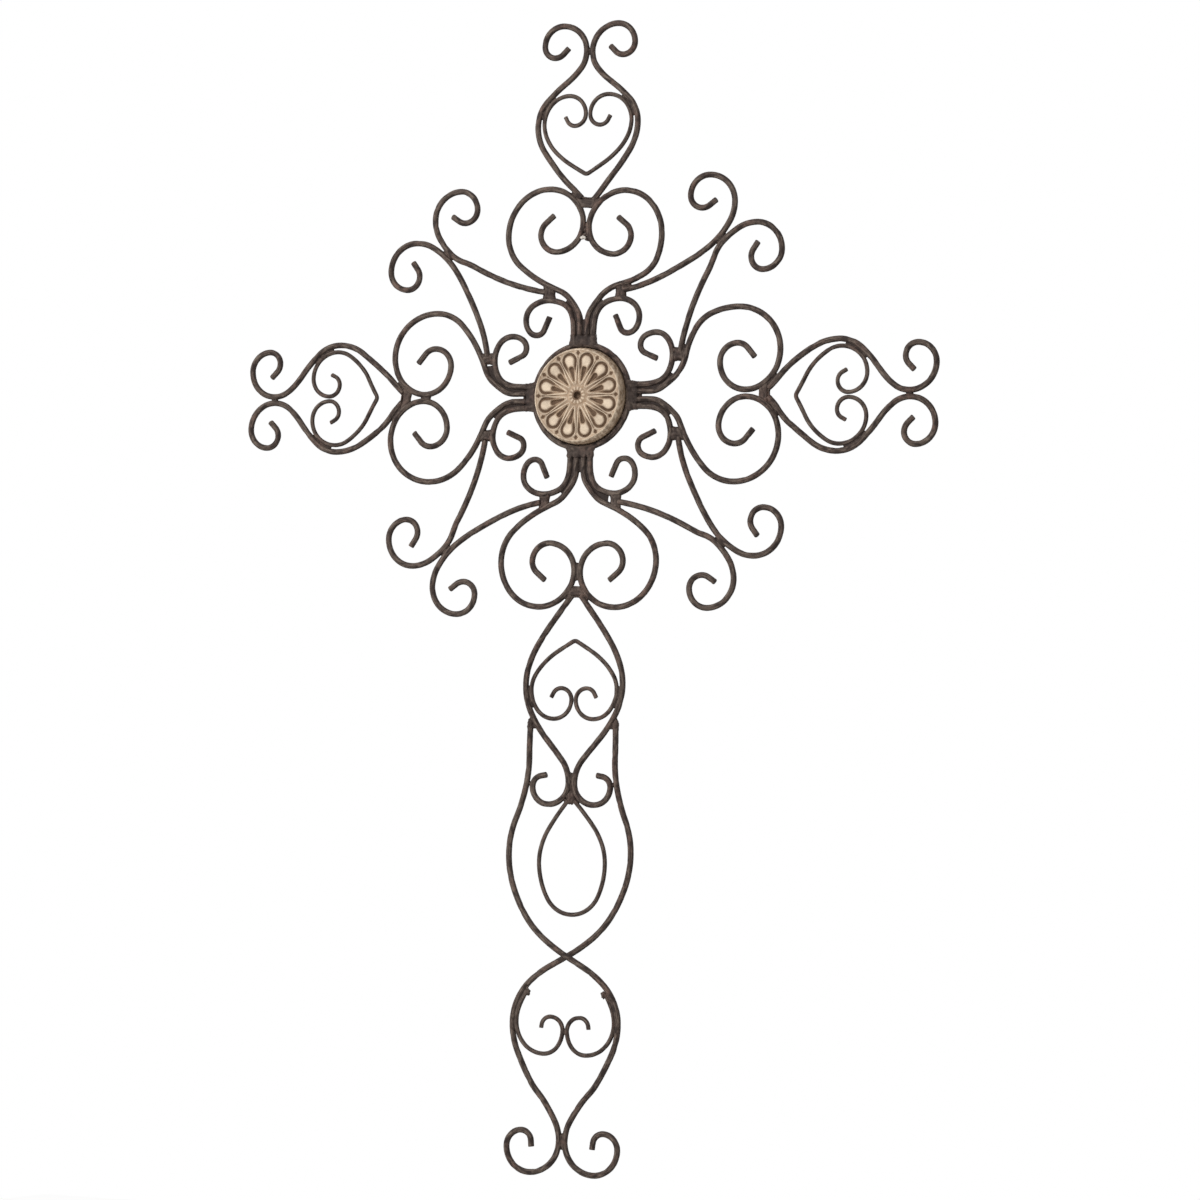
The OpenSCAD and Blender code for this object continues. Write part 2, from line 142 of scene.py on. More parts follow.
class ScrollSizes(PropertyGroup):
    """The big scrolls of an arm and the scrolls in the corners."""

    seam_rise: size("Seam rise", "Rise over the saddle of the seam of an arm's big scrolls", 89.9)
    curl_r: size("Big curl", "Radius of a big scroll's curl beside the seam", 22.3)
    top_x: size("Big top", "Distance across to a big scroll's outermost point", 33)
    top_rise: size("Big top rise", "Rise of the outermost point over the seam", 28)
    side_x: size("Big side", "Distance across to a big scroll's widest point", 67.5)
    side_drop: size("Big side drop", "Drop of the widest point under the seam", 8)
    corner_rise: size("Corner rise", "Rise of a corner's seam over the hub curls' tops", 41)
    corner_side_reach: size("Corner side", "Reach of a corner scroll's widest point", 12)
    corner_side_rise: size("Corner side rise", "Rise of that point over the seam", 29.5)
    corner_curl_r: size("Corner curl", "Radius of a corner scroll's curl at its widest point", 22)
    corner_twist: FloatProperty(
        name="Corner twist", description="Turn of all the corner scrolls about the hub",
        default=math.radians(1.3), subtype="ANGLE")


class FinialSizes(PropertyGroup):
    """The looped finials and the hearts in them."""

    loop_rise: size("Loop rise", "Rise of a loop's widest point over the big scrolls' seam", 78)
    loop_side_x: size("Loop side", "Distance across to a loop's widest point", 43.3)
    waist_rise: size("Waist rise", "Rise of the waist over the loop's widest point", 33.8)
    waist_x: size("Waist", "Distance across to the waist", 19)
    seam_rise: size("Seam rise", "Rise of the seam of a finial's wires over the waist", 24.7)
    curl_r: size("End curl", "Radius of a finial's end curl beside the seam", 21)
    heart_drop: size("Heart drop", "Drop of a heart's point under the loop's widest point", 36)
    heart_len: size("Heart length", "Length of a heart from its point to its seam", 44.3)
    heart_curl_r: size("Heart lobe", "Radius over a heart's lobe beside the seam", 15)


class FootSizes(PropertyGroup):
    """The long foot: shaft scrolls, rails, teardrop and foot curls."""

    shaft_rise: size("Shaft rise", "From the big scrolls' seam to a shaft scroll's side", 89)
    shaft_side_x: size("Shaft side", "Distance across to a shaft scroll's widest point", 41.7)
    shaft_seam_rise: size("Shaft seam", "From there to the seam of the shaft scrolls", 77)
    shaft_curl_r: size("Shaft curl", "Radius of a shaft scroll's curl beside the seam", 17)
    heart_drop: size("Heart drop", "Drop of the lower heart's point under the widest point", 34.5)
    heart_len: size("Heart length", "Length of the lower heart from its point to its seam", 46.3)
    cross_rise: size("Crossing", "From the shaft scrolls' seam to the rails' crossing", 135)
    rail_seam_rise: size("Rail seam", "From the crossing to the seam of the rails", 144.5)
    rail_upper_x: size("Rail above", "Widest point of a rail above the crossing", 51.8)
    rail_lower_x: size("Rail below", "Widest point of a rail below the crossing", 46)
    rail_curl_r: size("Rail curl", "Radius of a rail's end curl beside the seam", 25)
    drop_side_x: size("Teardrop side", "Distance across to the teardrop's widest point", 28.3)
    drop_gap: size("Teardrop gap", "Distance from the teardrop's bottom to the crossing", 32)
    foot_seam_rise: size("Foot curl seam", "From the crossing to the seam of the foot curls", 58.5)
    foot_curl_r: size("Foot curl", "Radius of a foot curl's eye beside its seam", 10.6)
    drop_tilt: FloatProperty(
        name="Teardrop tilt", description="Tilt of the teardrop, which hangs off the middle line",
        default=math.radians(2.6), subtype="ANGLE")


class RosetteSizes(PropertyGroup):
    """The cast rosette and its relief."""

    radius: size("Radius", "Outer radius of the rosette", ROSETTE_R)
    proud: size("Proud", "Height of its face over the ring's centre line", ROSETTE_PROUD)
    side: size("Side", "Width of its rounded side, in from the edge", 2.4)
    hole_r: size("Hole", "Radius of the hole in the middle", 3.2)
    boss_r: size("Boss", "Radius of the beaded boss round the hole", 6.8)
    petals: IntProperty(name="Petals", description="Number of petals", default=12, min=3)
    petal_in: size("Petal inside", "Distance from the axis to a petal's narrow end", 10)
    petal_out: size("Petal outside", "Distance from the axis to the middle of its round end", 28.2)
    petal_r: size("Petal", "Radius of a petal's round end", 6.1)
    ridge_gap: size("Ridge gap", "Distance from a petal's edge to the ridge round it", 0.6)
    relief: size("Relief", "Depth of the petals' grooves under the ridges", 1.5)


class Finishes(PropertyGroup):
    """Colours of the iron's paint and of the rosette."""

    iron: colour("Iron", "Brown-black paint of the wires", (0.066, 0.045, 0.036))
    # Also the colour of the painted shade on the wires' flanks, in the saddles' slots and in the seams
    # between wires.
    iron_dark: colour("Iron in hollows", "Paint in hollows and streaks", (0.019, 0.012, 0.010))
    iron_rub: colour("Iron rub", "Warm brown where the paint is rubbed", (0.130, 0.072, 0.055))
    iron_dust: colour("Iron dust", "Dull grey-brown bloom on the paint", (0.185, 0.145, 0.115))
    cream: colour("Cream", "Tan coat of the rosette", (0.40, 0.272, 0.172))
    cream_high: colour("Cream on high spots", "Palest coat, on ridges and rims", (0.64, 0.52, 0.39))
    # Also the colour of the painted shade inside the petals' round ends.
    wash: colour("Brown wash", "Antique wash left in the recesses", (0.085, 0.044, 0.023))
    bare: colour("Bare metal", "Unpainted weld spatter", (0.62, 0.58, 0.52))


GROUPS = {
    "wire": WireSizes, "hub": HubSizes, "scroll": ScrollSizes, "finial": FinialSizes,
    "foot": FootSizes, "rosette": RosetteSizes, "finish": Finishes,
}


class CrossSettings(PropertyGroup):
    """Everything that can be set on the cross."""

    wire: PointerProperty(type=WireSizes)
    hub: PointerProperty(type=HubSizes)
    scroll: PointerProperty(type=ScrollSizes)
    finial: PointerProperty(type=FinialSizes)
    foot: PointerProperty(type=FootSizes)
    rosette: PointerProperty(type=RosetteSizes)
    finish: PointerProperty(type=Finishes)


def in_mm(group):
    """A group's lengths in millimetres, its angles in degrees and its counts as they are."""
    values = {}
    for key, prop in group.bl_rna.properties.items():
        if key in group.__annotations__:
            value = getattr(group, key)
            scale = {"LENGTH": 1 / MM, "ROTATION": 180 / math.pi}.get(getattr(prop, "unit", ""), 1)
            values[key] = value * scale if isinstance(value, float) else value
    return SimpleNamespace(**values)


# ---- Arms ----


def arm_of(name, turn, sides, lean, heart, first, second):
    """An arm: its turn from upright, the names of its sides and how hand bending left it.

    The lean is that of its finial to the first side, and heart is how much longer its heart
    is. For each side come the shifts of the big scroll across and out, how much wider the
    scroll is, how far out its neck runs, and the shift of the hub curl across.
    """
    bent = {side: SimpleNamespace(**dict(zip(("across", "out", "wider", "neck", "curl"), values)))
            for side, values in ((1, first), (-1, second))}
    return SimpleNamespace(name=name, turn=turn, sides=dict(zip((1, -1), sides)), lean=lean,
                           heart=heart, bent=bent)


TOP = arm_of("top", 0, ("right", "left"), -1.2, 3.5,
             (-0.3, -3.9, -2, 20, -1.2), (0.3, -0.7, 0, 0, 1.4))
RIGHT = arm_of("right", 90, ("lower", "upper"), 3, -1,
               (0.2, 1.2, 1.2, 1, 0), (0.1, 1.2, 0, 20, 0.4))
FOOT = arm_of("bottom", 180, ("left", "right"), 0, 0,
              (0, -0.4, -1, 0, 0), (0, 0, 0, 0, -1.4))
LEFT = arm_of("left", 270, ("upper", "lower"), 2.6, -1,
              (1.7, -0.5, 0, 4, 0), (-1.5, 1.6, 0, 0, -1))
ARMS = (TOP, RIGHT, FOOT, LEFT)
LOOPED = (TOP, RIGHT, LEFT)


def in_arm(points, arm, side=1):
    """Arm-frame points (x, y, z) in millimetres to metres in the row frame.

    A point is mirrored across the arm for its second side, turned about Y by the arm's
    turn, x' = x cos a + z sin a and z' = z cos a - x sin a, and moved to the hub.
    """
    p = np.array(points, float)
    a = math.radians(arm.turn)
    x = p[..., 0] * side
    turned = np.stack([x * math.cos(a) + p[..., 2] * math.sin(a), p[..., 1],
                       p[..., 2] * math.cos(a) - x * math.sin(a)], -1)
    return turned * MM + np.array(HUB)


# ---- Courses: stations (x, z, heading), heading in degrees from +x towards +z ----


def bend(s, r, turn):
    """The station after an arc of radius r from s, turning by a signed angle."""
    way = math.copysign(1, turn)
    h0, h1 = math.radians(s[2]), math.radians(s[2] + turn)
    return (s[0] + way * r * (math.sin(h1) - math.sin(h0)),
            s[1] + way * r * (math.cos(h0) - math.cos(h1)), s[2] + turn)


def ahead(s, length):
    """The station a straight length further on."""
    h = math.radians(s[2])
    return (s[0] + length * math.cos(h), s[1] + length * math.sin(h), s[2])


# Every kind of curl: the radii of its quarter turns as shares of its size, how many degrees
# the last of them turns, and the length of its straight tail in millimetres.
CURLS = {
    "big": ((1, 0.64, 0.52), 50, 9.5),
    "corner": ((1, 0.7, 0.47), 125, 7),
    "finial": ((1, 0.74, 0.46), 135, 6.5),
    "heart": ((0.61, 0.5), 62, 4),
    "shaft": ((1, 0.82, 0.5), 80, 5),
    "rail": ((1, 0.8, 0.5, 0.34), 85, 5),
    "foot": ((1, 0.72), 82, 2.5),
}


def radii_of(kind, radius):
    """Radii of the quarter turns of a kind of curl."""
    return [radius * share for share in CURLS[kind][0]]


def curl(kind, s, radius, way):
    """Quarter bends in from station s, the last one by its own angle, and a straight tail."""
    radii, (_, last, tail) = radii_of(kind, radius), CURLS[kind]
    stations = []
    for r in radii[:-1]:
        s = bend(s, r, way * 90)
        stations.append(s)
    s = bend(s, radii[-1], way * last)
    return stations + [s, ahead(s, tail)]


def backwards(stations):
    """The same course walked from its other end."""
    return [(x, z, h + 180) for x, z, h in reversed(stations)]


def shifted(stations, x=0.0, z=0.0):
    """The stations moved across and out."""
    return [(s[0] + x, s[1] + z, s[2]) for s in stations]


def turned(stations, angle):
    """The stations turned about the hub's centre."""
    c, s = math.cos(math.radians(angle)), math.sin(math.radians(angle))
    return [(x * c - z * s, x * s + z * c, h + angle) for x, z, h in stations]


def both_halves(half):
    """A half course from its free end to the middle, and its mirrored twin after it."""
    other = half[:-1] if half[-1][0] == 0 else half
    return half + [(-x, z, -h) for x, z, h in reversed(other)]


# In millimetres: from a big scroll's seam out to the crotch where the next wires spring,
# from a shaft scroll's widest point to the rail's top, from the shaft's seam to the
# teardrop's top, and how far a heart's widest point lies under its seam on top and below.
VEE_RISE = 11.5
RAIL_TOP_RISE = 34
DROP_TOP_RISE = 13.6
HEART_SIDE_DROP, LOW_HEART_SIDE_DROP = 6.6, 8.2


def places(cross):
    """Distances in the arm frame, one built on another from the sizes."""
    wire, hub, scroll = in_mm(cross.wire), in_mm(cross.hub), in_mm(cross.scroll)
    finial, foot = in_mm(cross.finial), in_mm(cross.foot)
    p = SimpleNamespace(wire=wire, hub=hub, scroll=scroll, finial=finial, foot=foot)
    p.rod_r, p.thin_r = wire.rod_d / 2, wire.thin_d / 2
    p.touch = wire.rod_d + wire.weld_gap
    p.mixed_touch = p.rod_r + p.thin_r + wire.weld_gap
    p.rod_seam, p.thin_seam = p.touch / 2, p.thin_r + wire.weld_gap / 2
    p.start = hub.ring_r + p.rod_r + hub.saddle_len + wire.weld_gap
    p.middle_x = p.rod_r + hub.middle_space / 2
    p.outer_x = p.middle_x + wire.rod_d + hub.side_space
    p.hub_top = (p.outer_x + hub.top_reach, p.start + hub.top_rise)
    p.hub_side = (p.outer_x + hub.side_reach, p.hub_top[1] - hub.side_drop)
    p.seam_z = p.start + scroll.seam_rise
    p.vee_z = p.seam_z + 1.5 * p.touch + VEE_RISE
    p.corner_seam = p.hub_top[1] + scroll.corner_rise
    p.loop_z = p.seam_z + finial.loop_rise
    p.waist_z = p.loop_z + finial.waist_rise
    p.finial_seam_z = p.waist_z + finial.seam_rise
    p.shaft_z = p.seam_z + foot.shaft_rise
    p.shaft_seam_z = p.shaft_z + foot.shaft_seam_rise
    p.cross_z = p.shaft_seam_z + foot.cross_rise
    p.rail_seam_z = p.cross_z + foot.rail_seam_rise
    p.foot_seam_z = p.cross_z + foot.foot_seam_rise
    p.rail_top_z = p.shaft_z + RAIL_TOP_RISE
    p.drop_top_z = p.shaft_seam_z + DROP_TOP_RISE
    p.heart_z = p.loop_z - finial.heart_drop
    p.lift = p.touch / 2
    return p


def big_course(p, bent):
    """A big scroll from its eye round to the saddle."""
    s = p.scroll
    outer = backwards(curl("big", (p.rod_seam, p.seam_z, -90), s.curl_r, 1)) + [
        (p.rod_seam, p.seam_z, 90),
        (p.rod_seam + 8.1, p.vee_z - 0.3, 46),
        (s.top_x + bent.wider / 2, p.seam_z + s.top_rise, 0),
        (s.side_x + bent.wider, p.seam_z - s.side_drop, -90)]
    return shifted(outer, bent.across, bent.out) + [
        (p.hub_top[0] + bent.neck, p.hub_top[1] + 2 * p.touch + 1.3 + 0.37 * bent.neck,
         bent.neck / 4 - 155),
        (p.middle_x + 9.8, p.hub_top[1] + 0.9, -131),
        (p.middle_x, p.start + 10, -90),
        (p.middle_x, p.start, -90)]


def hub_course(p, across):
    """A hub curl from the saddle up, over and back under to its eye."""
    eye = p.hub.eye_r
    low = (p.hub_side[0] - eye + across, p.hub_side[1] - eye - 2.8, 180)
    turn = bend(low, eye * 0.7, -66)
    return [
        (p.outer_x, p.start, 90),
        (p.outer_x + 2.4, p.start + 17.4, 68),
        (p.hub_top[0] + across / 2, p.hub_top[1], 0),
        (p.hub_side[0] + across, p.hub_side[1], -90),
        low, turn, ahead(turn, p.hub.tail)]


def corner_course(p, twist):
    """A corner scroll from its eye along the corner's seam to the hub curl's top."""
    side = (p.corner_seam + p.scroll.corner_side_reach, p.corner_seam + p.scroll.corner_side_rise)
    offset = p.rod_seam / math.sqrt(2)
    outer = backwards(curl("corner", (*side, 90), p.scroll.corner_curl_r, 1)) + [
        (*side, -90),
        (p.corner_seam - offset, p.corner_seam + offset, -135)]
    inner = [(p.corner_seam - 24.5, p.corner_seam - 12.3, -151)]
    return turned(outer, twist) + turned(inner, twist / 2) + [
        (p.hub_top[0] + 2.6, p.hub_top[1] + p.touch + 1.5, -171)]


def finial_course(p, sway, bent):
    """A finial's wire from its eye down the seam, round the loop and in to the scrolls."""
    side_x = p.finial.loop_side_x
    seam = (p.rod_seam, p.finial_seam_z, 90)
    outer = backwards(curl("finial", seam, p.finial.curl_r, -1)) + [
        (p.rod_seam, p.finial_seam_z, -90),
        (p.finial.waist_x, p.waist_z, -36),
        (side_x, p.loop_z, -90)]
    inner = [(side_x / 2 + 1.5, p.loop_z - 39.7, -130)]
    return shifted(outer, sway) + shifted(inner, sway * 0.4) + [
        (p.rod_seam + 1.3 + bent.across - 0.5 * bent.out, p.vee_z + 0.2 + 0.5 * bent.out, -132)]


def heart_course(p, point_z, length, side_x, side_drop):
    """A heart from one eye round its point to the other eye."""
    seam_z = point_z + length
    seam, lobe_r = (p.thin_seam, seam_z, 90), p.finial.heart_curl_r
    return both_halves(backwards(curl("heart", (p.thin_seam, seam_z, -90), lobe_r, 1)) + [
        seam,
        bend(seam, lobe_r, -90),
        (side_x, seam_z - side_drop, -90),
        (side_x * 0.73, point_z + length * 0.39, -134),
        (2, point_z + 0.6, -150)])


def shaft_course(p):
    """A shaft scroll from between the big scrolls down to its eye."""
    side_x = p.foot.shaft_side_x
    seam = (p.rod_seam, p.shaft_seam_z, 90)
    return [
        (p.rod_seam + 1.4, p.vee_z - 0.4, 53),
        (side_x - 10.7, p.shaft_z - 33, 58),
        (side_x, p.shaft_z, 90),
        (22.8, p.shaft_z + 42.5, 131),
        seam] + curl("shaft", seam, p.foot.shaft_curl_r, -1)


def rail_course(p):
    """A side rail from the shaft scroll through the crossing to its eye at the foot."""
    upper_x, lower_x = p.foot.rail_upper_x, p.foot.rail_lower_x
    first, second, _ = radii_of("shaft", p.foot.shaft_curl_r)
    end = (-p.rod_seam, p.rail_seam_z, 90)
    return [
        (p.foot.shaft_side_x - 5, p.rail_top_z, 88),
        (first + p.rod_seam + second + p.touch + 0.1, p.shaft_seam_z + 2, 79),
        (upper_x, p.cross_z - 80, 90),
        (upper_x - 15.5, p.cross_z - 31.5, 123),
        (0, p.cross_z, 151),
        (15.2 - lower_x, p.cross_z + 19.6, 138),
        (-lower_x, p.cross_z + 52.5, 90),
        (16.4 - lower_x, p.cross_z + 97.4, 59),
        (31.2 - lower_x, p.cross_z + 116, 54),
        end] + curl("rail", end, p.foot.rail_curl_r, 1)


def drop_course(p):
    """The teardrop from one side of its open top round to the other."""
    bottom_z, side_x = p.cross_z - p.foot.drop_gap, p.foot.drop_side_x
    length = bottom_z - p.drop_top_z
    return both_halves([
        (2.6, p.drop_top_z, 50),
        (side_x - 8.3, p.drop_top_z + 0.252 * length, 57),
        (side_x, bottom_z - 0.453 * length, 90),
        (0, bottom_z, 180)])


def foot_course(p):
    """A foot curl from the rail's side round to its eye."""
    side_x = p.foot.rail_lower_x - p.mixed_touch + 0.3
    seam_z = p.foot_seam_z
    seam = (p.thin_seam, seam_z, -90)
    return [
        (side_x - 8.2, seam_z - 30, 58),
        (side_x, seam_z - 6.5, 90),
        (18, seam_z + 18.5, 180),
        seam] + curl("foot", seam, p.foot.foot_curl_r, 1)


# ---- Curves and surfaces ----


def walk(stations, spacing):
    """Evenly spaced points (x, 0, z) along a course.

    Two arcs join each pair of stations a and b. They meet at (a + b)/2 + d/2 (t0 - t1),
    with t0 and t1 the unit headings and d the positive root of
    d^2 (2 - 2 t0.t1) + 2 d v.(t0 + t1) = v.v for v = b - a. On an arc that starts at q with
    heading h and curvature k, the point at distance s is
    q + s sinc(ks/2) (cos, sin)(h + ks/2).
    """
    st = np.array(stations, float)
    pts, ang = st[:, :2], np.radians(st[:, 2])
    unit = np.stack([np.cos(ang), np.sin(ang)], 1)
    v, t0, t1 = pts[1:] - pts[:-1], unit[:-1], unit[1:]
    vt, vv = (v * (t0 + t1)).sum(1), (v * v).sum(1)
    den = 2 * (1 - (t0 * t1).sum(1))
    straight = np.abs(den) < 1e-9
    root = (np.sqrt(vt**2 + den * vv) - vt) / np.where(straight, 1, den)
    d = np.where(straight, vv / (4 * np.where(straight, (v * t1).sum(1), 1)), root)
    meet = (pts[1:] + pts[:-1]) / 2 + d[:, None] / 2 * (t0 - t1)

    def wrapped(a):
        return (a + np.pi) % (2 * np.pi) - np.pi

    first, second = meet - pts[:-1], pts[1:] - meet
    half1 = wrapped(np.arctan2(first[:, 1], first[:, 0]) - ang[:-1])
    h2 = ang[:-1] + 2 * half1
    half2 = wrapped(np.arctan2(second[:, 1], second[:, 0]) - h2)
    start = np.stack([pts[:-1], meet], 1).reshape(-1, 2)
    head = np.stack([ang[:-1], h2], 1).ravel()
    half = np.stack([half1, half2], 1).ravel()
    chord = np.hypot(*np.stack([first, second], 1).reshape(-1, 2).T)
    length = chord / np.sinc(half / np.pi)
    ends = np.concatenate([[0], np.cumsum(length)])
    s = np.linspace(0, ends[-1], int(round(ends[-1] / spacing)) + 1)
    arc = np.clip(np.searchsorted(ends, s, "right") - 1, 0, len(length) - 1)
    ds, k = s - ends[arc], 2 * half[arc] / length[arc]
    reach = ds * np.sinc(k * ds / 2 / np.pi)
    mid = head[arc] + k * ds / 2
    return np.stack([start[arc, 0] + reach * np.cos(mid), np.zeros_like(s),
                     start[arc, 1] + reach * np.sin(mid)], 1)


def ripple(rng, u, v, low, high, turns, count=7):
    """Smooth noise over u in millimetres and v round a wire in radians.

    The sum of count waves cos(2 pi u / L + m v + q), each with a random length L from low
    to high, a random whole number m of turns and a random phase q, scaled to about 1.
    """
    total = np.zeros(np.broadcast(u, v).shape)
    for _ in range(count):
        wave, m = rng.uniform(low, high), rng.integers(-turns, turns + 1)
        phase = rng.uniform(0, 2 * np.pi)
        total += np.cos(2 * np.pi * u / wave + m * v + phase)
    return total / math.sqrt(count / 2)


def lumps(rng, p, wave, count=12):
    """Smooth noise over places p in metres: a sum of count plane waves of about one length."""
    total = np.zeros(p.shape[:-1])
    for _ in range(count):
        direction = rng.normal(size=3)
        direction *= 2 * np.pi / (wave * MM * rng.uniform(0.7, 1.5) * np.linalg.norm(direction))
        total += np.cos(p @ direction + rng.uniform(0, 2 * np.pi))
    return total / math.sqrt(count / 2)


def smooth(low, high, x):
    """Smooth step from 0 at low to 1 at high."""
    t = np.clip((x - low) / (high - low), 0, 1)
    return t * t * (3 - 2 * t)


def bump_at(x, middle, width):
    """Bell curve of height 1 round a middle."""
    return np.exp(-(((x - middle) / width) ** 2))


def rounded(angle, square=1.0):
    """Cosine and sine of an angle, pushed out towards a square as the power falls under 1."""
    c, s = np.cos(angle), np.sin(angle)
    return np.sign(c) * np.abs(c) ** square, np.sign(s) * np.abs(s) ** square


def at_share(path, share):
    """Points of a path at shares 0 to 1 of its length."""
    k = np.clip(share, 0, 1) * (len(path) - 1)
    low = np.minimum(k.astype(int), len(path) - 2)
    part = (k - low)[..., None]
    return path[low] * (1 - part) + path[low + 1] * part


def shell_parts(rows, cols):
    """Faces of a grid of rings, closed by a point at each end, and each corner's (row, column)."""
    i, j = np.meshgrid(np.arange(rows - 1), np.arange(cols), indexing="ij")
    corner = np.stack([[i, j], [i + 1, j], [i + 1, j + 1], [i, j + 1]])
    corner = corner.transpose(2, 3, 0, 1).reshape(-1, 4, 2)
    quads = corner[..., 0] * cols + corner[..., 1] % cols
    j = np.arange(cols)
    first, last = rows * cols, rows * cols + 1
    head = np.stack([np.full(cols, first), j, (j + 1) % cols], 1)
    edge = (rows - 1) * cols
    tail = np.stack([np.full(cols, last), edge + (j + 1) % cols, edge + j], 1)
    return quads, corner, head, tail


def add_shells(name, grids, layers=None, lengths=None):
    """A mesh of closed shells, each from a grid of rings (rows, columns, 3) in metres.

    Every layer names an attribute and gives its values for each grid. With lengths, a UV
    map holds the distance along a shell in centimetres and the share round it.
    """
    points, quads, tris, uvs, values = [], [], [], [], {key: [] for key in layers or {}}
    base = 0
    for k, grid in enumerate(grids):
        rows, cols = grid.shape[:2]
        quad, corner, head, tail = shell_parts(rows, cols)
        points += [grid.reshape(-1, 3), grid[0].mean(0)[None], grid[-1].mean(0)[None]]
        quads.append(quad + base)
        tris.append(np.concatenate([head, tail]) + base)
        base += rows * cols + 2
        for key in values:
            value = layers[key][k]
            values[key] += [value.ravel(), value[0].mean()[None], value[-1].mean()[None]]
        if lengths is not None:
            s = lengths[k] / 10
            uvs.append(np.stack([s[corner[..., 0]], corner[..., 1] / cols], -1).reshape(-1, 2))
    points, quads, tris = (np.concatenate(a) for a in (points, quads, tris))
    mesh = bpy.data.meshes.new(name)
    mesh.from_pydata(points.tolist(), [], quads.tolist() + tris.tolist())
    mesh.polygons.foreach_set("use_smooth", np.ones(len(mesh.polygons), bool))
    for key, parts in values.items():
        mesh.attributes.new(key, "FLOAT", "POINT").data.foreach_set(
            "value", np.concatenate(parts).astype(np.float32))
    if lengths is not None:
        layer = mesh.uv_layers.new(name="along")
        cap = np.zeros((len(tris) * 3, 2))
        layer.data.foreach_set("uv", np.concatenate([*uvs, cap]).ravel().astype(np.float32))
    return mesh


def add_piece(name, mesh, material, slot, *nodes):
    """Links a mesh as a piece that rides on the body and stands for its CAD nodes."""
    piece = bpy.data.objects.new(name, mesh)
    bpy.context.scene.collection.objects.link(piece)
    piece.data.materials.append(material)
    if nodes:
        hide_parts(*nodes)
    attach(piece, "root")
    return piece


def check_place(piece, node, limit):
    """Stops if a piece's box has left its CAD node's box by more than limit millimetres."""
    co = np.empty(len(piece.data.vertices) * 3, np.float32)
    piece.data.vertices.foreach_get("co", co)
    co = co.reshape(-1, 3)
    low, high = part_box(node)
    off = max(np.abs(co.min(0) - np.array(low)).max(), np.abs(co.max(0) - np.array(high)).max())
    if off > limit * MM:
        raise RuntimeError(f"{piece.name} lies {off / MM:.2f} mm off its node {node}")


# ---- Wires ----


def forged_tube(path, radius, rng, hammer, sides):
    """A hammered round wire along a path in metres, as (grid, hollow, lengths).

    The point at angle v of a ring is the path's point + R (cos v N + sin v G), with N
    square to the path and G towards the front. R is the radius less the hammer's flats,
    hammer max(0, noise)^1.5, 9 to 30 mm long, and less pits of 1.6 to 5 mm. Each end is cut
    a little out of square, with its edge rounded over two short rings. The hollows keep the
    darkest paint, and the flanks, where sin v is small, are darkened as painted shade.
    """
    s = np.concatenate([[0], np.cumsum(np.linalg.norm(np.diff(path, axis=0), axis=1))]) / MM
    inset = np.array([0.15, 0.6])
    u = np.concatenate([s[:1], s[0] + inset, s[1:-1], s[-1] - inset[::-1], s[-1:]])
    along = np.gradient(path, axis=0)
    along /= np.linalg.norm(along, axis=1)[:, None]
    normal = np.cross(along, [0, -1, 0])
    normal /= np.linalg.norm(normal, axis=1)[:, None]
    centre, t, n = (np.stack([np.interp(u, s, a[:, k]) for k in range(3)], 1)[:, None]
                    for a in (path, along, normal))
    g = np.cross(n, t)
    v = np.linspace(0, 2 * np.pi, sides, endpoint=False)[None]
    flats = np.maximum(0, ripple(rng, u[:, None], v, 9, 30, 3)) ** 1.5
    pits = np.maximum(0, ripple(rng, u[:, None], v, 1.6, 5, 6))
    from_end = np.minimum(u, s[-1] - u)[:, None]
    hollow = 0.45 * flats + 0.16 * pits
    # Painted shade: the flanks, where sin v is small, are darkened on top of the hollows.
    shaded = hollow + 0.95 * smooth(0.92, 0.3, np.sin(v))
    r = (radius - hammer * hollow) * np.interp(from_end, [0, *inset], [0.8, 0.93, 1.0])
    across, front = np.cos(v)[..., None], np.sin(v)[..., None]
    shear = rng.uniform(-0.1, 0.1, 2)
    tilt = (shear[0] * across + shear[1] * front) * np.exp(-from_end / radius)[..., None]
    return centre + MM * (r[..., None] * (across * n + front * g) + radius * tilt * t), shaded, u


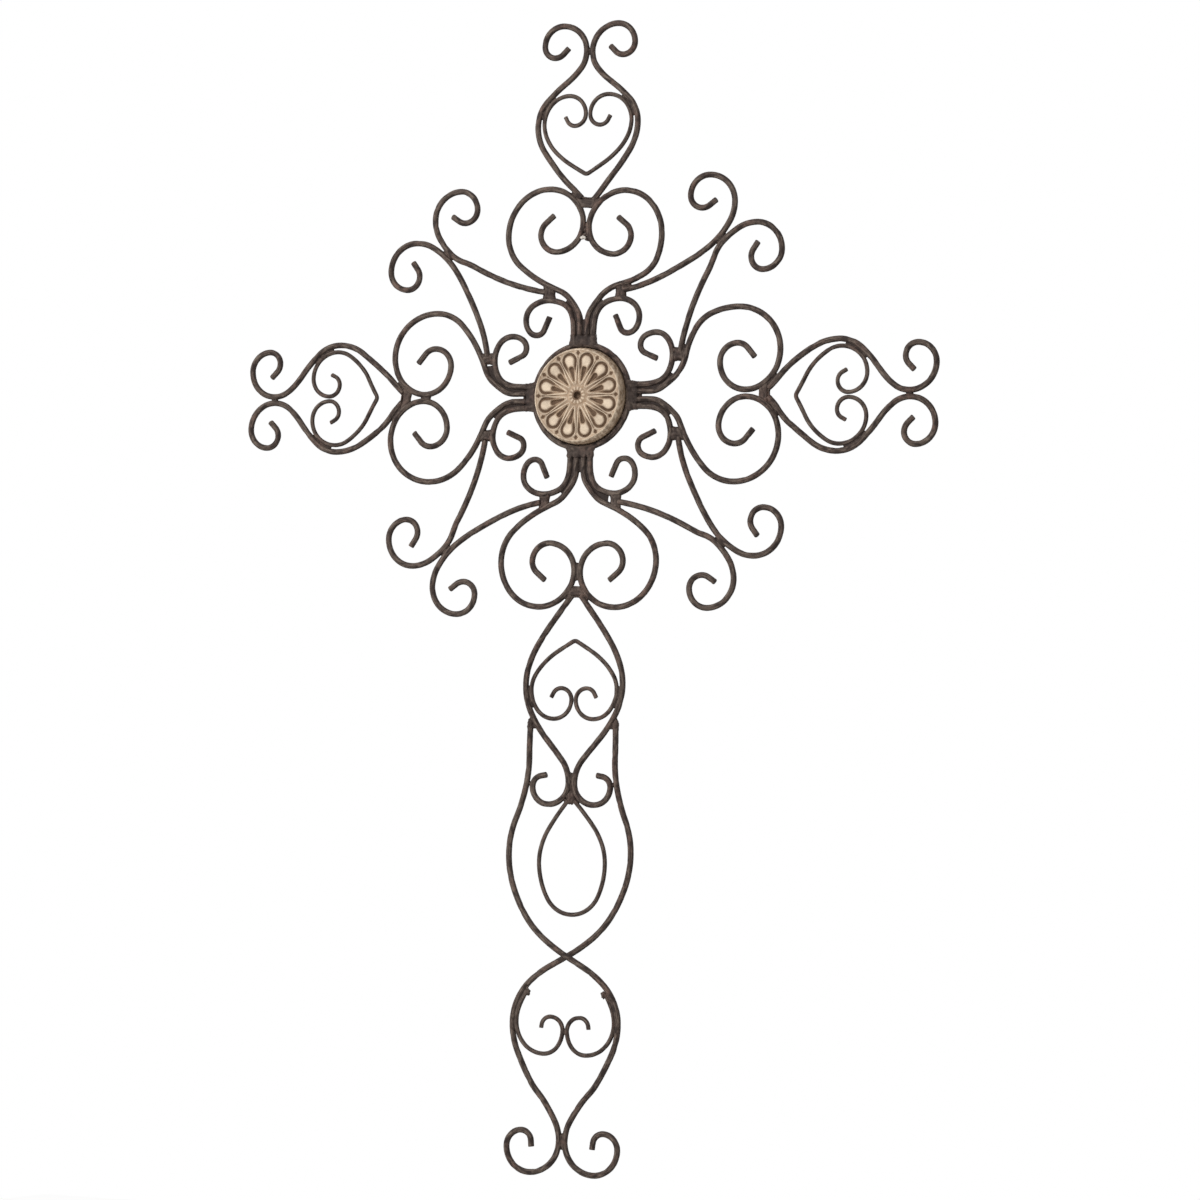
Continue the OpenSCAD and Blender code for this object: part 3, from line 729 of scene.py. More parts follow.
def wire_plan(cross):
    """Every wire: its node, kind, arm, side, diameter in millimetres and path in metres."""
    p = places(cross)
    rod, thin, spacing = p.wire.rod_d, p.wire.thin_d, p.wire.ring_spacing
    plan = []

    def add(kind, node, arm, side, wire_d, local):
        plan.append(SimpleNamespace(kind=kind, node=node, arm=arm, side=side, d=wire_d, local=local,
                                    path=in_arm(local, arm, side)))

    def add_pair(kind, word, arm, wire_d, make):
        for side in (1, -1):
            add(kind, f"{arm.name}_{word}_{arm.sides[side]}", arm, side, wire_d, make(side))

    for arm in ARMS:
        add_pair("big", "big_scroll", arm, rod,
                 lambda side: walk(big_course(p, arm.bent[side]), spacing))
        add_pair("hub", "hub_curl", arm, rod,
                 lambda side: walk(hub_course(p, arm.bent[side].curl), spacing))
        add_pair("corner", "corner_scroll", arm, rod,
                 lambda side: walk(corner_course(p, side * p.scroll.corner_twist), spacing))
    for arm in LOOPED:
        add_pair("finial", "finial_scroll", arm, rod,
                 lambda side: walk(finial_course(p, side * arm.lean, arm.bent[side]), spacing))
        heart = heart_course(p, p.heart_z - arm.heart, p.finial.heart_len + arm.heart,
                             p.finial.loop_side_x - p.mixed_touch - 1.1, HEART_SIDE_DROP)
        add("heart", arm.name + "_heart", arm, 1, thin, walk(heart, spacing) + [arm.lean, 0, 0])
    add_pair("shaft", "shaft_scroll", FOOT, rod,
             lambda side: walk(shaft_course(p), spacing))
    add_pair("rail", "side_rail", FOOT, rod, lambda side: rail_path(p, side, spacing))
    add_pair("foot", "foot_curl", FOOT, thin, lambda side: walk(foot_course(p), spacing))
    heart = heart_course(p, p.shaft_z - p.foot.heart_drop, p.foot.heart_len,
                         p.foot.shaft_side_x - p.mixed_touch - 0.5, LOW_HEART_SIDE_DROP)
    add("heart", "lower_heart", FOOT, 1, thin, walk(heart, spacing))
    add("drop", "teardrop", FOOT, 1, thin, hung_teardrop(p, spacing))
    return plan


def rail_path(p, way, spacing):
    """A rail's path, which leaves the wall plane to pass its twin at the crossing.

    Its y is -way lift f, where f rises from 0 at the rail's top to 1 at the crossing and
    falls to 0 at the seam, in straight lines over z.
    """
    path = walk(rail_course(p), spacing)
    z = np.maximum.accumulate(path[:, 2])
    path[:, 1] = -way * p.lift * np.interp(z, [p.rail_top_z, p.cross_z, p.rail_seam_z], [0, 1, 0])
    return path


def hung_teardrop(p, spacing):
    """The teardrop's path, turned by its tilt about its top."""
    path = walk(drop_course(p), spacing) - [0, 0, p.drop_top_z]
    a = math.radians(-p.foot.drop_tilt)
    x, z = path[:, 0].copy(), path[:, 2].copy()
    path[:, 0] = x * math.cos(a) + z * math.sin(a)
    path[:, 2] = z * math.cos(a) - x * math.sin(a) + p.drop_top_z
    return path


def seed_of(name):
    """A seed that stays the same for a name."""
    return sum((i + 1) * ord(c) for i, c in enumerate(name))


def add_wire(cross, node, path, radius, hammer, seed):
    """Makes one hammered wire as the piece that stands for a node."""
    grid, hollow, lengths = forged_tube(path, radius, np.random.default_rng(seed), hammer,
                                        cross.wire.sides)
    mesh = add_shells(node + "_mesh", [grid], {"hollow": [hollow]}, [lengths])
    piece = add_piece("forged_" + node, mesh, iron_paint(cross), "iron", node)
    check_place(piece, node, 0.5)


def bend_wires(cross, *kinds):
    """Makes every wire of the given kinds, a thinner one with shallower hammer marks."""
    wire = in_mm(cross.wire)
    for item in wire_plan(cross):
        if item.kind in kinds:
            add_wire(cross, item.node, item.path, item.d / 2,
                     wire.hammer_depth * item.d / wire.rod_d, seed_of(item.node))


def make_hub_ring(cross):
    """The ring round the rosette, one bent wire whose ends meet under the top saddle."""
    p = places(cross)
    turn = np.linspace(0, 2 * np.pi, int(2 * np.pi * p.hub.ring_r / p.wire.ring_spacing))
    path = np.stack([np.sin(turn), 0 * turn, np.cos(turn)], 1) * p.hub.ring_r
    add_wire(cross, "hub_ring", in_arm(path, TOP), p.rod_r, p.wire.hammer_depth, 11)


def make_saddle(cross, arm):
    """The rough weld block that gathers an arm's four wires on the ring.

    Its ring at share s has x = w(s) X and y = h(s) Y on a squarish round (X, Y), and z runs
    from the ring's centre line up to an edge with a collar at each wire and a slot between
    them. The width w flares to the ring as (1 - s)^4.
    """
    p = places(cross)
    rng = np.random.default_rng(seed_of(arm.name))
    rows = 40
    s = np.linspace(0, 1, rows)[:, None]
    angle = np.linspace(0, 2 * np.pi, 120, endpoint=False)[None]
    across, deep = rounded(angle, 0.42)
    half_w = p.outer_x + p.rod_r
    shoulder = np.sqrt(np.clip(1 - ((s - 0.8) / 0.2).clip(0) ** 2, 0.03, 1))
    x = (half_w + 0.2 + 2.6 * (1 - s) ** 4) * across * (0.9 + 0.1 * shoulder)
    slots = sum(bump_at(x, k * (p.middle_x + p.outer_x) / 2, 0.9) for k in (-1, 0, 1))
    bottom = np.sqrt(np.clip(p.hub.ring_r**2 - x**2, 0, None))
    top = p.hub.ring_r + p.rod_r + p.hub.saddle_len + 1.6 - 1.8 * slots
    z = bottom + (top - bottom) * s
    y = (p.rod_r + 0.15) * deep * shoulder * (1 - 0.45 * slots * smooth(0.45, 1, s))
    grid = in_arm(np.stack([x, y, z], -1), arm)
    rough = lumps(rng, grid, 5) * 0.16 + lumps(rng, grid, 2) * 0.09
    push = in_arm(np.stack([across + 0 * s, deep + 0 * s, 0 * x], -1), arm) - np.array(HUB)
    grid = grid + push * (rough * smooth(0, 0.25, s))[..., None]
    # Painted shade darkens the slots between the wires; the dips of the rough surface are darker as
    # well.
    hollow = 0.9 * slots * smooth(0.3, 1, s) + 0.5 - 1.2 * rough
    node = arm.name + "_saddle"
    mesh = add_shells(node + "_mesh", [grid], {"hollow": [hollow]}, [np.linspace(0, 8, rows)])
    piece = add_piece("weld_block_" + arm.name, mesh, weld_paint(cross), "iron", node)
    check_place(piece, node, 3.5)


# ---- Welds ----


def web(a, b, half, rng, cut_start, cut_end, middle=0.75):
    """A weld's web between two wires' centre lines a and b, as (grid, hollow).

    At share t along and q = -1..1 across, its middle is a(t') + (b(t') - a(t'))(q + 1)/2.
    The ends are hollowed in the middle: t' = t + (1 - q^2)(cut_start (1 - t)^2 - cut_end t^2).
    Its half thickness is half (middle + (1 - middle) q^2), rounded off at both ends.
    """
    if ((a[-1] - a[0]) * (b[-1] - b[0])).sum() < 0:
        b = b[::-1]
    t = np.linspace(0, 1, 18)[:, None]
    q, deep = rounded(np.linspace(0, 2 * np.pi, 28, endpoint=False)[None], 0.6)
    share = t + (1 - q**2) * (cut_start * (1 - t) ** 2 - cut_end * t**2)
    at_a, at_b = at_share(a, share), at_share(b, share)
    mid = at_a + (at_b - at_a) * ((q + 1) / 2 + 0 * t)[..., None]
    ends = np.sqrt(np.clip(1 - np.abs(2 * t - 1) ** 6, 0.04, 1))
    y = half * (middle + (1 - middle) * q**2) * deep * ends
    rough = lumps(rng, mid, 2.6)
    y = y * (1 + 0.13 * rough)
    grid = mid + MM * y[..., None] * [0, 1, 0]
    ahead_of = (a[-1] - a[0]) / np.linalg.norm(a[-1] - a[0])
    push = 0.18 * lumps(rng, mid, 3) * (2 * t - 1) * (1 - q**2)
    return grid + MM * push[..., None] * ahead_of, 0.35 - 0.3 * rough + 0 * y


def bead(centre, radii, rng, rough):
    """A lumpy ball about a centre in metres: radii (1 + rough noise) in each direction."""
    t = np.linspace(0.02, np.pi - 0.02, 14)[:, None]
    v = np.linspace(0, 2 * np.pi, 20, endpoint=False)[None]
    unit = np.stack([np.sin(t) * np.cos(v), np.sin(t) * np.sin(v), -np.cos(t) + 0 * v], -1)
    noise = lumps(rng, centre + unit * MM * max(radii), 2.4)
    grid = centre + MM * unit * np.array(radii) * (1 + rough * noise)[..., None]
    return grid, 0.4 - 0.3 * noise


def stretch_near(wire, x, z, reach):
    """The part of a wire within reach of its point nearest to (x, z) in its arm.

    It runs outwards from the hub.
    """
    local = wire.local
    k = np.argmin((local[:, 0] - x) ** 2 + (local[:, 2] - z) ** 2)
    steps = int(round(reach / np.linalg.norm(local[1] - local[0])))
    part = slice(max(0, k - steps), k + steps + 1)
    first, last = local[part, 2][[0, -1]]
    return wire.path[part][::1 if last > first else -1]


# How far the weld runs along the seam of each arm's two big scrolls, on the hub's side and
# on the outer side of the seam, as the gap it fills in millimetres.
SEAM_FILL = {"top": (3.6, 1.0), "right": (0.5, 0.5), "bottom": (3.6, 3.2), "left": (3.2, 1.3)}
# How far past the saddle the two big scrolls stay joined, in millimetres.
NECK = {"top": 15, "right": 5, "bottom": 13, "left": 4}
# The gap filled between a big scroll and the hub curl beside it, and where it is wider.
PAIR_GAP = 1.9
PAIR_FILL = {("left", 1): 5, ("bottom", -1): 5, ("right", -1): 2.6}
# How far out the plate in each arm's crotch lies from its usual place, in millimetres.
PLATE_OUT = {"top": 1.2, "right": 1.1, "bottom": 0.1, "left": 1.2}


# An arm's plate, the web between the wires that spring from its crotch, and its blocks. For
# each come the half thickness as a share of the rod's radius, how far the start and the end
# are hollowed, and how much of the thickness is left in the middle.
PLATE_SHAPE = (0.75, 0.0, 0.16, 0.9)
SPRING_SHAPE = (0.72, 0.0, 0.6, 0.9)
BLOCK_SHAPE = (0.88, 0.16, 0.2, 0.85)
# A web that fills a gap between touching wires: the hollow at its ends in millimetres, its
# thickness as a share of the wire's and how much painted shade darkens it past the rest of a weld.
BUNDLE_FILL, CONTACT_FILL = (0.8, 0.3, 0.8), (1.5, 0.6, 0.3)
SHORTEST_RUN = 4


def runs_of(close):
    """The stretches [low, high) where a list holds true for a while."""
    edges = np.flatnonzero(np.diff(np.concatenate([[0], close, [0]])))
    return [run for run in edges.reshape(-1, 2) if run[1] - run[0] >= SHORTEST_RUN]


def contacts(plan, p):
    """Stretches where two wires run close enough together for the weld to fill the gap.

    A run of points of one wire counts while its surface is within the fill of the other.
    Each comes as the two stretches, and whether it fills the hub's own bundle of wires.
    """
    saddle_end = p.hub.ring_r + p.rod_r + p.hub.saddle_len - 1
    for i, a in enumerate(plan):
        for b in plan[i + 1:]:
            kinds, touch = {a.kind, b.kind}, (a.d + b.d) / 2
            near = (touch + 6) * MM
            if ((a.path.min(0) - near > b.path.max(0)) | (b.path.min(0) - near > a.path.max(0))).any():
                continue
            apart = np.linalg.norm(a.path[:, None] - b.path[None], axis=-1)
            gap, other = apart.min(1) / MM - touch, apart.argmin(1)
            z = a.local[:, 2]
            clear = np.linalg.norm(a.path - np.array(HUB), axis=1) / MM > p.start + 27
            bundle = np.zeros(len(z), bool)
            if kinds == {"big"}:
                inner, outer = SEAM_FILL[a.arm.name]
                close = clear & (gap < np.where(z < p.seam_z, inner, outer))
                neck_end = saddle_end + NECK[a.arm.name]
                bundle = (a.arm is b.arm) & (z > saddle_end) & (z < neck_end) & (gap < 4)
            elif kinds == {"big", "hub"}:
                close = bundle
                if a.arm is b.arm and a.side == b.side:
                    fill = PAIR_FILL.get((a.arm.name, a.side), PAIR_GAP)
                    bundle = (z > saddle_end) & (z < p.hub_top[1] + 9) & (gap < fill)
            elif kinds == {"rail"}:
                close = (gap < 2.6) & (z > p.cross_z + 60)
            elif kinds == {"rail", "shaft"}:
                close = gap < np.where(z < p.rail_top_z + 12, 3.2, 1.0)
            else:
                close = clear & (gap < (4.0 if kinds == {"shaft"} else 1.2))
            for runs, in_bundle in ((runs_of(close), False), (runs_of(bundle), True)):
                for low, high in runs:
                    j0, j1 = other[low], other[high - 1]
                    if j0 != j1:
                        steps = np.linspace(j0, j1, high - low).round().astype(int)
                        yield a.path[low:high], b.path[steps], min(a.d, b.d), in_bundle


def make_welds(cross):
    """Webs and beads at every place where wires meet.

    Between touching wires runs a web darkened as painted shade in the seam, thin and darkest
    within the hub's bundle. Each arm has a plate in its crotch, a web between the wires that
    spring from it, and a block beside each hub curl. A thin tube of painted shade lines the
    ring's inside round the rosette, and beads close the rails' tops, the foot curls' starts and
    the teardrop's open top. Two lumps stand on the top arm's seam.
    """
    p = places(cross)
    plan = wire_plan(cross)
    by_node = {item.node: item for item in plan}
    rng = np.random.default_rng(5)
    shells = []
    for a_path, b_path, wire_d, in_bundle in contacts(plan, p):
        length = np.linalg.norm(np.diff(a_path, axis=0), axis=1).sum() / MM
        end_cut, thick, seam_shade = BUNDLE_FILL if in_bundle else CONTACT_FILL
        cut = min(0.4, end_cut / length)
        grid, hollow = web(a_path, b_path, thick * wire_d / 2, rng, cut, cut)
        # Painted shade: a web in the seam between two wires is darker than the rest of the weld.
        shells.append((grid, hollow + seam_shade))

    def pair(arm, word):
        return [by_node[f"{arm.name}_{word}_{arm.sides[side]}"] for side in (1, -1)]

    def join(ends, reach, thick, *shape):
        near = (stretch_near(wire, x, z, reach) for wire, x, z in ends)
        shells.append(web(*near, thick * p.rod_r, rng, *shape))

    for arm in ARMS:
        bigs = pair(arm, "big_scroll")
        springing = pair(arm, "shaft_scroll" if arm is FOOT else "finial_scroll")
        plate_z = p.vee_z - 1.5 + PLATE_OUT[arm.name]
        join([(wire, p.rod_seam + 3.1, plate_z) for wire in bigs], 5.3, *PLATE_SHAPE)
        join([(wire, p.rod_seam, p.vee_z - 2) for wire in springing], 3, *SPRING_SHAPE)
        for curl, big in zip(pair(arm, "hub_curl"), bigs):
            x, reach = 30.3 + rng.uniform(-1, 1), rng.uniform(5.4, 6.4)
            over = p.hub_top[1] + 2 * p.touch + 1
            join([(curl, x, p.hub_top[1]), (big, x + 0.8, over)], reach, *BLOCK_SHAPE)
    # A thin tube at the ring's inner edge, painted darkest: painted shade in the gap between the ring
    # and the rosette.
    turn = np.linspace(0, 2 * np.pi, 180)
    gap_shade_path = np.stack([np.sin(turn), 0 * turn + 0.03, np.cos(turn)], 1)
    gap_shade_path = gap_shade_path * (p.hub.ring_r - p.rod_r + 0.1)
    grid, hollow, _ = forged_tube(in_arm(gap_shade_path, TOP), 0.8, rng, 0.3, 12)
    shells.append((grid, hollow + 1))

    def lump(place, arm, side, radii, rough):
        shells.append(bead(in_arm(place, arm, side), radii, rng, rough))

    for side in (1, -1):
        rail_top = [p.foot.shaft_side_x - 4.9, 0, p.rail_top_z - 1.6]
        lump(rail_top, FOOT, side, (2.6, 2.2, 6.4), 0.1)
        nub = by_node["bottom_foot_curl_" + FOOT.sides[side]].local[0] + [-0.7, 0, 0.8]
        lump(nub, FOOT, side, (2.2, 1.9, 3.0), 0.16)
    lump([0, 0, p.drop_top_z - 2.4], FOOT, 1, (4.2, 2.2, 5.4), 0.08)
    for x, drop, r in ((0.9, 13.4, 1.9), (0.2, 10.4, 2.4)):
        lump([x, -0.2, p.seam_z - drop], TOP, 1, (r, 1.7, 0.9 * r), 0.2)
    mesh = add_shells("weld_beads_mesh", [g for g, _ in shells], {"hollow": [h for _, h in shells]},
                      [np.linspace(0, 5, g.shape[0]) for g, _ in shells])
    add_piece("weld_beads", mesh, weld_paint(cross), "iron")
    spatter = in_arm([-1.7, -1.0, p.seam_z - 12.6], TOP)
    grid, hollow = bead(spatter, (2.3, 1.3, 1.3), rng, 0.3)
    add_piece("bare_spatter", add_shells("bare_spatter_mesh", [grid], {"hollow": [hollow]}),
              bare_metal(cross), "iron")


# ---- Rosette ----


def capsule(x, z, r_in, r_out, c_in, c_out):
    """Signed distance to the hull of two circles on the z axis, negative inside.

    Beside the hull it is the distance to the straight flank, and past either end it is the
    distance to that end's circle.
    """
    x, z, h = np.abs(x), z - c_in, c_out - c_in
    b = (r_in - r_out) / h
    a = math.sqrt(1 - b * b)
    k = a * z - b * x
    flank = x * a + z * b - r_in
    outside = np.where(k > a * h, np.hypot(x, z - h) - r_out, flank)
    return np.where(k < 0, np.hypot(x, z) - r_in, outside)


def rosette_relief(s, r, turn):
    """Height over the rosette's face in millimetres, its brown wash and painted shade, and its pale
    spots (0 to 1).

    Each petal is the hull of a small and a large circle. With d the distance from its edge,
    the height falls into a groove just inside d = 0, swells inside it to the petal's back, and
    rises to a ridge round d = ridge_gap. A drop-shaped gouge, a diamond between the petals
    at the rim and a ring of beads round the hole are cut and raised in the same way.
    """
    part = 2 * np.pi / s.petals
    off = (turn + part / 2) % part - part / 2  # from the rib between two petals
    mid = turn % part - part / 2  # from the middle of a petal
    x, z = r * np.sin(mid), r * np.cos(mid)
    d = capsule(x, z, 0.5, s.petal_r, s.petal_in, s.petal_out)
    inside = smooth(0.1, -0.5, d)
    fade = smooth(s.boss_r + 0.4, s.boss_r + 3.5, r)
    outer = smooth(17, 26, r)
    groove = bump_at(d, -0.35 - 0.4 * outer, 0.4 + 0.65 * outer)
    groove = groove * (0.15 + 0.85 * outer) * smooth(9, 12, r)
    ridge = bump_at(d, s.ridge_gap, 0.42) * fade
    back = inside * smooth(-0.6, -3.2, d)
    gouge_d = capsule(x, z, 0.5, 1.95, 12.0, 21.4)
    gouge = smooth(0.35, -0.7, gouge_d)
    core = smooth(-0.3, -1.4, gouge_d)
    pearl = smooth(-1.0, -3.4, d) * smooth(15, 22, r) * smooth(0.1, 1.4, gouge_d)
    rx, rz = r * np.sin(off), r * np.cos(off)
    from_diamond = np.abs(rx) / 1.55 + np.abs(rz - 33.6) / 2.1
    diamond = smooth(1.25, 0.55, from_diamond)
    lip = bump_at(from_diamond, 1.7, 0.35) * smooth(29, 31, r)
    split = bump_at(rx, 0, 0.36) * smooth(13, 21, r) * smooth(31.4, 29.6, r) * smooth(0.4, 0.9, d)
    beads = 0.5 + 0.5 * np.cos(turn * 13 + 0.4)
    boss = smooth(s.hole_r + 0.6, s.hole_r + 1.6, r) * smooth(s.boss_r + 0.5, s.boss_r - 0.8, r)
    dish = smooth(s.boss_r - 0.3, s.boss_r + 0.6, r) * smooth(s.boss_r + 4.5, s.boss_r + 1.2, r)
    field = smooth(0.2, 1.5, d) * smooth(s.boss_r, s.boss_r + 4, r) * smooth(34.6, 32.8, r)
    high = (ridge * 0.15 - groove * s.relief - field * 0.35 - gouge * s.relief * 1.3
            - inside * 0.25 * (1 - back) - diamond * 0.9 + lip * 0.12 - split * 0.5 - dish * 0.5
            + boss * (0.1 + 0.22 * beads) - 0.35)
    # The second term is painted shade: a soft dark band inside each petal's round end. The other terms
    # are brown wash.
    wash = np.clip(groove * 0.95 + 0.28 * bump_at(d, -1.9, 1.3) * outer + gouge * 0.65 + core * 0.35
                   + diamond + split * 0.7 + dish * 0.15
                   + 0.36 * field * (1 - ridge) + inside * 0.2 * (1 - pearl)
                   + 0.85 * smooth(s.hole_r + 1.4, s.hole_r + 0.5, r)
                   + boss * 0.55 * (1 - beads), 0, 1)
    pale = np.clip(ridge * 1.1 + pearl * 0.95 + lip * 0.9 + boss * beads * 0.8
                   + 0.55 * smooth(34.6, 35.3, r), 0, 1)
    return high, wash, pale


def make_rosette(cross):
    """The cast button: an outline turned about its axis, with the relief on its face.

    The outline runs from the back's middle out to the edge, round the side as
    (face + side cos t, proud sin t), in over the face and down the hole.
    """
    s = in_mm(cross.rosette)
    p = places(cross)
    rng = np.random.default_rng(29)
    face, back, hole_deep, face_rings = s.radius - s.side, p.rod_r, 5, 128
    t = np.linspace(0, np.pi / 2, 16)[1:-1]
    back_r = [0.3, 12, 26, s.radius - 1.2, s.radius - 0.4, s.radius, s.radius]
    back_y = [back] * 4 + [back - 0.25, back - 1, 0]
    r = np.concatenate([back_r, face + s.side * np.cos(t), np.linspace(face, s.hole_r, face_rings),
                        s.hole_r * np.array([0.97, 0.95, 0.94, 0.85, 0.1])])
    y = np.concatenate([back_y, -s.proud * np.sin(t), np.full(face_rings, -s.proud),
                        hole_deep * np.array([0.1, 0.3, 0.9, 1, 1.0]) - s.proud])
    turn = np.linspace(0, 2 * np.pi, 480, endpoint=False)[None]
    on_face = np.zeros(len(r))
    first = len(back_r) + len(t)
    on_face[first:first + face_rings] = 1
    r, y, on_face = r[:, None], y[:, None], on_face[:, None]
    high, wash, pale = rosette_relief(s, r, turn)
    rim = smooth(face + 0.3, face - 1.6, r)
    flat = np.stack([r * np.cos(turn), y + 0 * turn, r * np.sin(turn)], -1) * MM
    uneven = 0.05 * lumps(rng, flat, 6) + 0.025 * lumps(rng, flat, 2.2)
    high = (high + 0.35) * rim - 0.52 * smooth(face, face - 1, r) + uneven
    high = on_face * np.minimum(high, -0.02)
    side = (1 - on_face) * bump_at(y, -s.proud * 0.55, 0.45) * (r > face)
    dashes = side * smooth(-0.5, 0.3, np.sin(turn * 52) + 0.8 * lumps(rng, flat, 9))
    r = r - 0.25 * dashes
    grid = in_arm(np.stack([r * np.cos(turn), y - high, -r * np.sin(turn)], -1), TOP)
    off_face = 1 - on_face
    wash = np.clip(on_face * wash * rim + 0.8 * dashes + 0.9 * (y > 0)
                   + off_face * 0.9 * (r < s.hole_r)
                   + 0.25 * bump_at(r, face - 0.7, 0.5) * on_face, 0, 1)
    patchy = smooth(-0.6, 0.9, lumps(rng, flat, 3.5))
    pale = (on_face * pale * rim + 0.85 * bump_at(r, face + 0.4, 0.6) * (y < -0.8 * s.proud)
            + 0.5 * patchy * off_face * smooth(-1, -7, y))
    side_wash = 0.5 * smooth(-3.5, -0.5, y) + 0.3 * (1 - patchy)
    wash = np.clip(wash + off_face * (r > face) * side_wash, 0, 1)
    mesh = add_shells("rosette_mesh", [grid], {"wash": [wash + 0 * turn], "pale": [pale]})
    piece = add_piece("cast_rosette", mesh, rosette_coat(cross), "rosette", "rosette")
    check_place(piece, "rosette", 0.6)


# ---- Finishes ----


def new_material(name):
    """A material with an empty node tree, its shader and a helper that adds and links nodes."""
    material = bpy.data.materials.new(name)
    material.use_nodes = True
    tree = material.node_tree
    tree.nodes.clear()
    output = tree.nodes.new("ShaderNodeOutputMaterial")
    shader = tree.nodes.new("ShaderNodeBsdfPrincipled")
    tree.links.new(shader.outputs[0], output.inputs[0])

    def node(kind, inputs=(), **settings):
        """A node whose inputs are given as values or as the sockets they are linked to."""
        made = tree.nodes.new("ShaderNode" + kind)
        for key, value in settings.items():
            setattr(made, key, value)
        for key, value in dict(inputs).items():
            if isinstance(value, bpy.types.NodeSocket):
                tree.links.new(value, made.inputs[key])
            else:
                made.inputs[key].default_value = value
        return made

    return material, tree, shader, node


def paint_over(node, body, *coats):
    """Coats laid over a body colour in turn, each a share and a colour."""
    for share, coat in coats:
        body = blend_colours(node, share, body, tuple(coat))
    return body


def blend_colours(node, share, first, second):
    """A mix of two colours, each a socket or a linear colour."""
    mix = node("Mix", data_type="RGBA")
    links = mix.id_data.links
    for socket, value in ((mix.inputs[0], share), (mix.inputs[6], first), (mix.inputs[7], second)):
        if isinstance(value, bpy.types.NodeSocket):
            links.new(value, socket)
        else:
            socket.default_value = (*value, 1) if hasattr(value, "__len__") else value
    return mix.outputs[2]


def math_of(node, operation, first, second=0.0):
    """The result of a math node on two values or sockets, kept within 0 to 1."""
    return node("Math", {0: first, 1: second}, operation=operation, use_clamp=True).outputs[0]


def level(node, value, low, high, to_low=0.0, to_high=1.0):
    """A socket's value from low..high carried to another range, and held within it."""
    return node("MapRange", {0: value, 1: low, 2: high, 3: to_low, 4: to_high}).outputs[0]


def noise_of(node, place, scale, detail=3.0, rough=0.55, warp=0.0):
    """Noise between 0 and 1 at a place."""
    return node("TexNoise", {"Vector": place, "Scale": scale, "Detail": detail, "Roughness": rough,
                             "Distortion": warp}).outputs[0]


def along_wire(node):
    """A place that runs along a wire and round it, for streaks without a seam.

    From the UV map's (u, v) it is (u, 2 cos 2 pi v, 2 sin 2 pi v).
    """
    uv = node("SeparateXYZ", {0: node("UVMap", uv_map="along").outputs[0]})
    turn = node("Math", {0: uv.outputs[1], 1: 2 * math.pi}, operation="MULTIPLY").outputs[0]
    ring = [node("Math", {0: node("Math", {0: turn}, operation=kind).outputs[0], 1: 2.0},
                 operation="MULTIPLY").outputs[0] for kind in ("COSINE", "SINE")]
    return node("CombineXYZ", {0: uv.outputs[0], 1: ring[0], 2: ring[1]}).outputs[0]


def paint_tree(cross, name, streaks, bump):
    """Brown-black paint: drawn streaks, mottling, dark hollows, painted shade on flanks and seams,
    rubbed and dusty patches.
    """
    if name in bpy.data.materials:
        return bpy.data.materials[name]
    c = cross.finish
    material, tree, shader, node = new_material(name)
    place = node("TexCoord").outputs["Object"]
    hollow = node("Attribute", attribute_name="hollow").outputs["Fac"]
    streak = noise_of(node, along_wire(node), 1.1, 4, 0.6, 0.3)
    mottle = noise_of(node, place, 330, 4, 0.62)
    fleck = noise_of(node, place, 900, 2, 0.6)
    patch = noise_of(node, place, 42, 3, 0.6)
    tone = noise_of(node, place, 14, 2, 0.5)
    dusty = math_of(node, "MULTIPLY", level(node, streak, 0.5, 0.64), streaks)
    drawn = math_of(node, "MULTIPLY", level(node, streak, 0.47, 0.34), streaks)
    rub = math_of(node, "MULTIPLY", level(node, patch, 0.5, 0.66),
                  level(node, mottle, 0.42, 0.62, 0.1, 0.7))
    body = paint_over(node, tuple(c.iron_dark),
                      (level(node, mottle, 0.4, 0.6, 0.35, 1.0), c.iron),
                      (dusty, c.iron_dust), (drawn, c.iron_dark), (rub, c.iron_rub),
                      (level(node, tone, 0.45, 0.65, 0.0, 0.2), c.iron_dust),
                      # The darkest coat goes where the mask is high: hollows, plus painted shade on
                      # the wires' flanks, in the saddles' slots and in the seams between wires.
                      (level(node, hollow, 0.15, 1.0, 0.0, 0.88), c.iron_dark),
                      (level(node, fleck, 0.68, 0.8, 0.0, 0.3), c.iron_dust))
    tree.links.new(body, shader.inputs["Base Color"])
    tree.links.new(level(node, mottle, 0.3, 0.7, 0.8, 0.6), shader.inputs["Roughness"])
    shader.inputs["Specular IOR Level"].default_value = 0.22
    height = node("Math", {0: mottle, 1: level(node, streak, 0.3, 0.7)}, operation="ADD").outputs[0]
    height = node("Math", {0: height, 1: fleck}, operation="ADD").outputs[0]
    lift = node("Bump", {"Strength": bump, "Distance": 0.0002, "Height": height})
    tree.links.new(lift.outputs[0], shader.inputs["Normal"])
    return material


def iron_paint(cross):
    """The painted wire."""
    return paint_tree(cross, "iron_paint", 0.75, 0.35)


def weld_paint(cross):
    """The same paint over a rough weld."""
    return paint_tree(cross, "weld_paint", 0.3, 0.7)


def bare_metal(cross):
    """Weld spatter that broke through the paint."""
    material, tree, shader, node = new_material("bare_metal")
    place = node("TexCoord").outputs["Object"]
    speck = noise_of(node, place, 1400, 3, 0.6)
    body = paint_over(node, tuple(cross.finish.bare),
                      (level(node, speck, 0.5, 0.68), cross.finish.iron))
    tree.links.new(body, shader.inputs["Base Color"])
    shader.inputs["Roughness"].default_value = 0.55
    return material


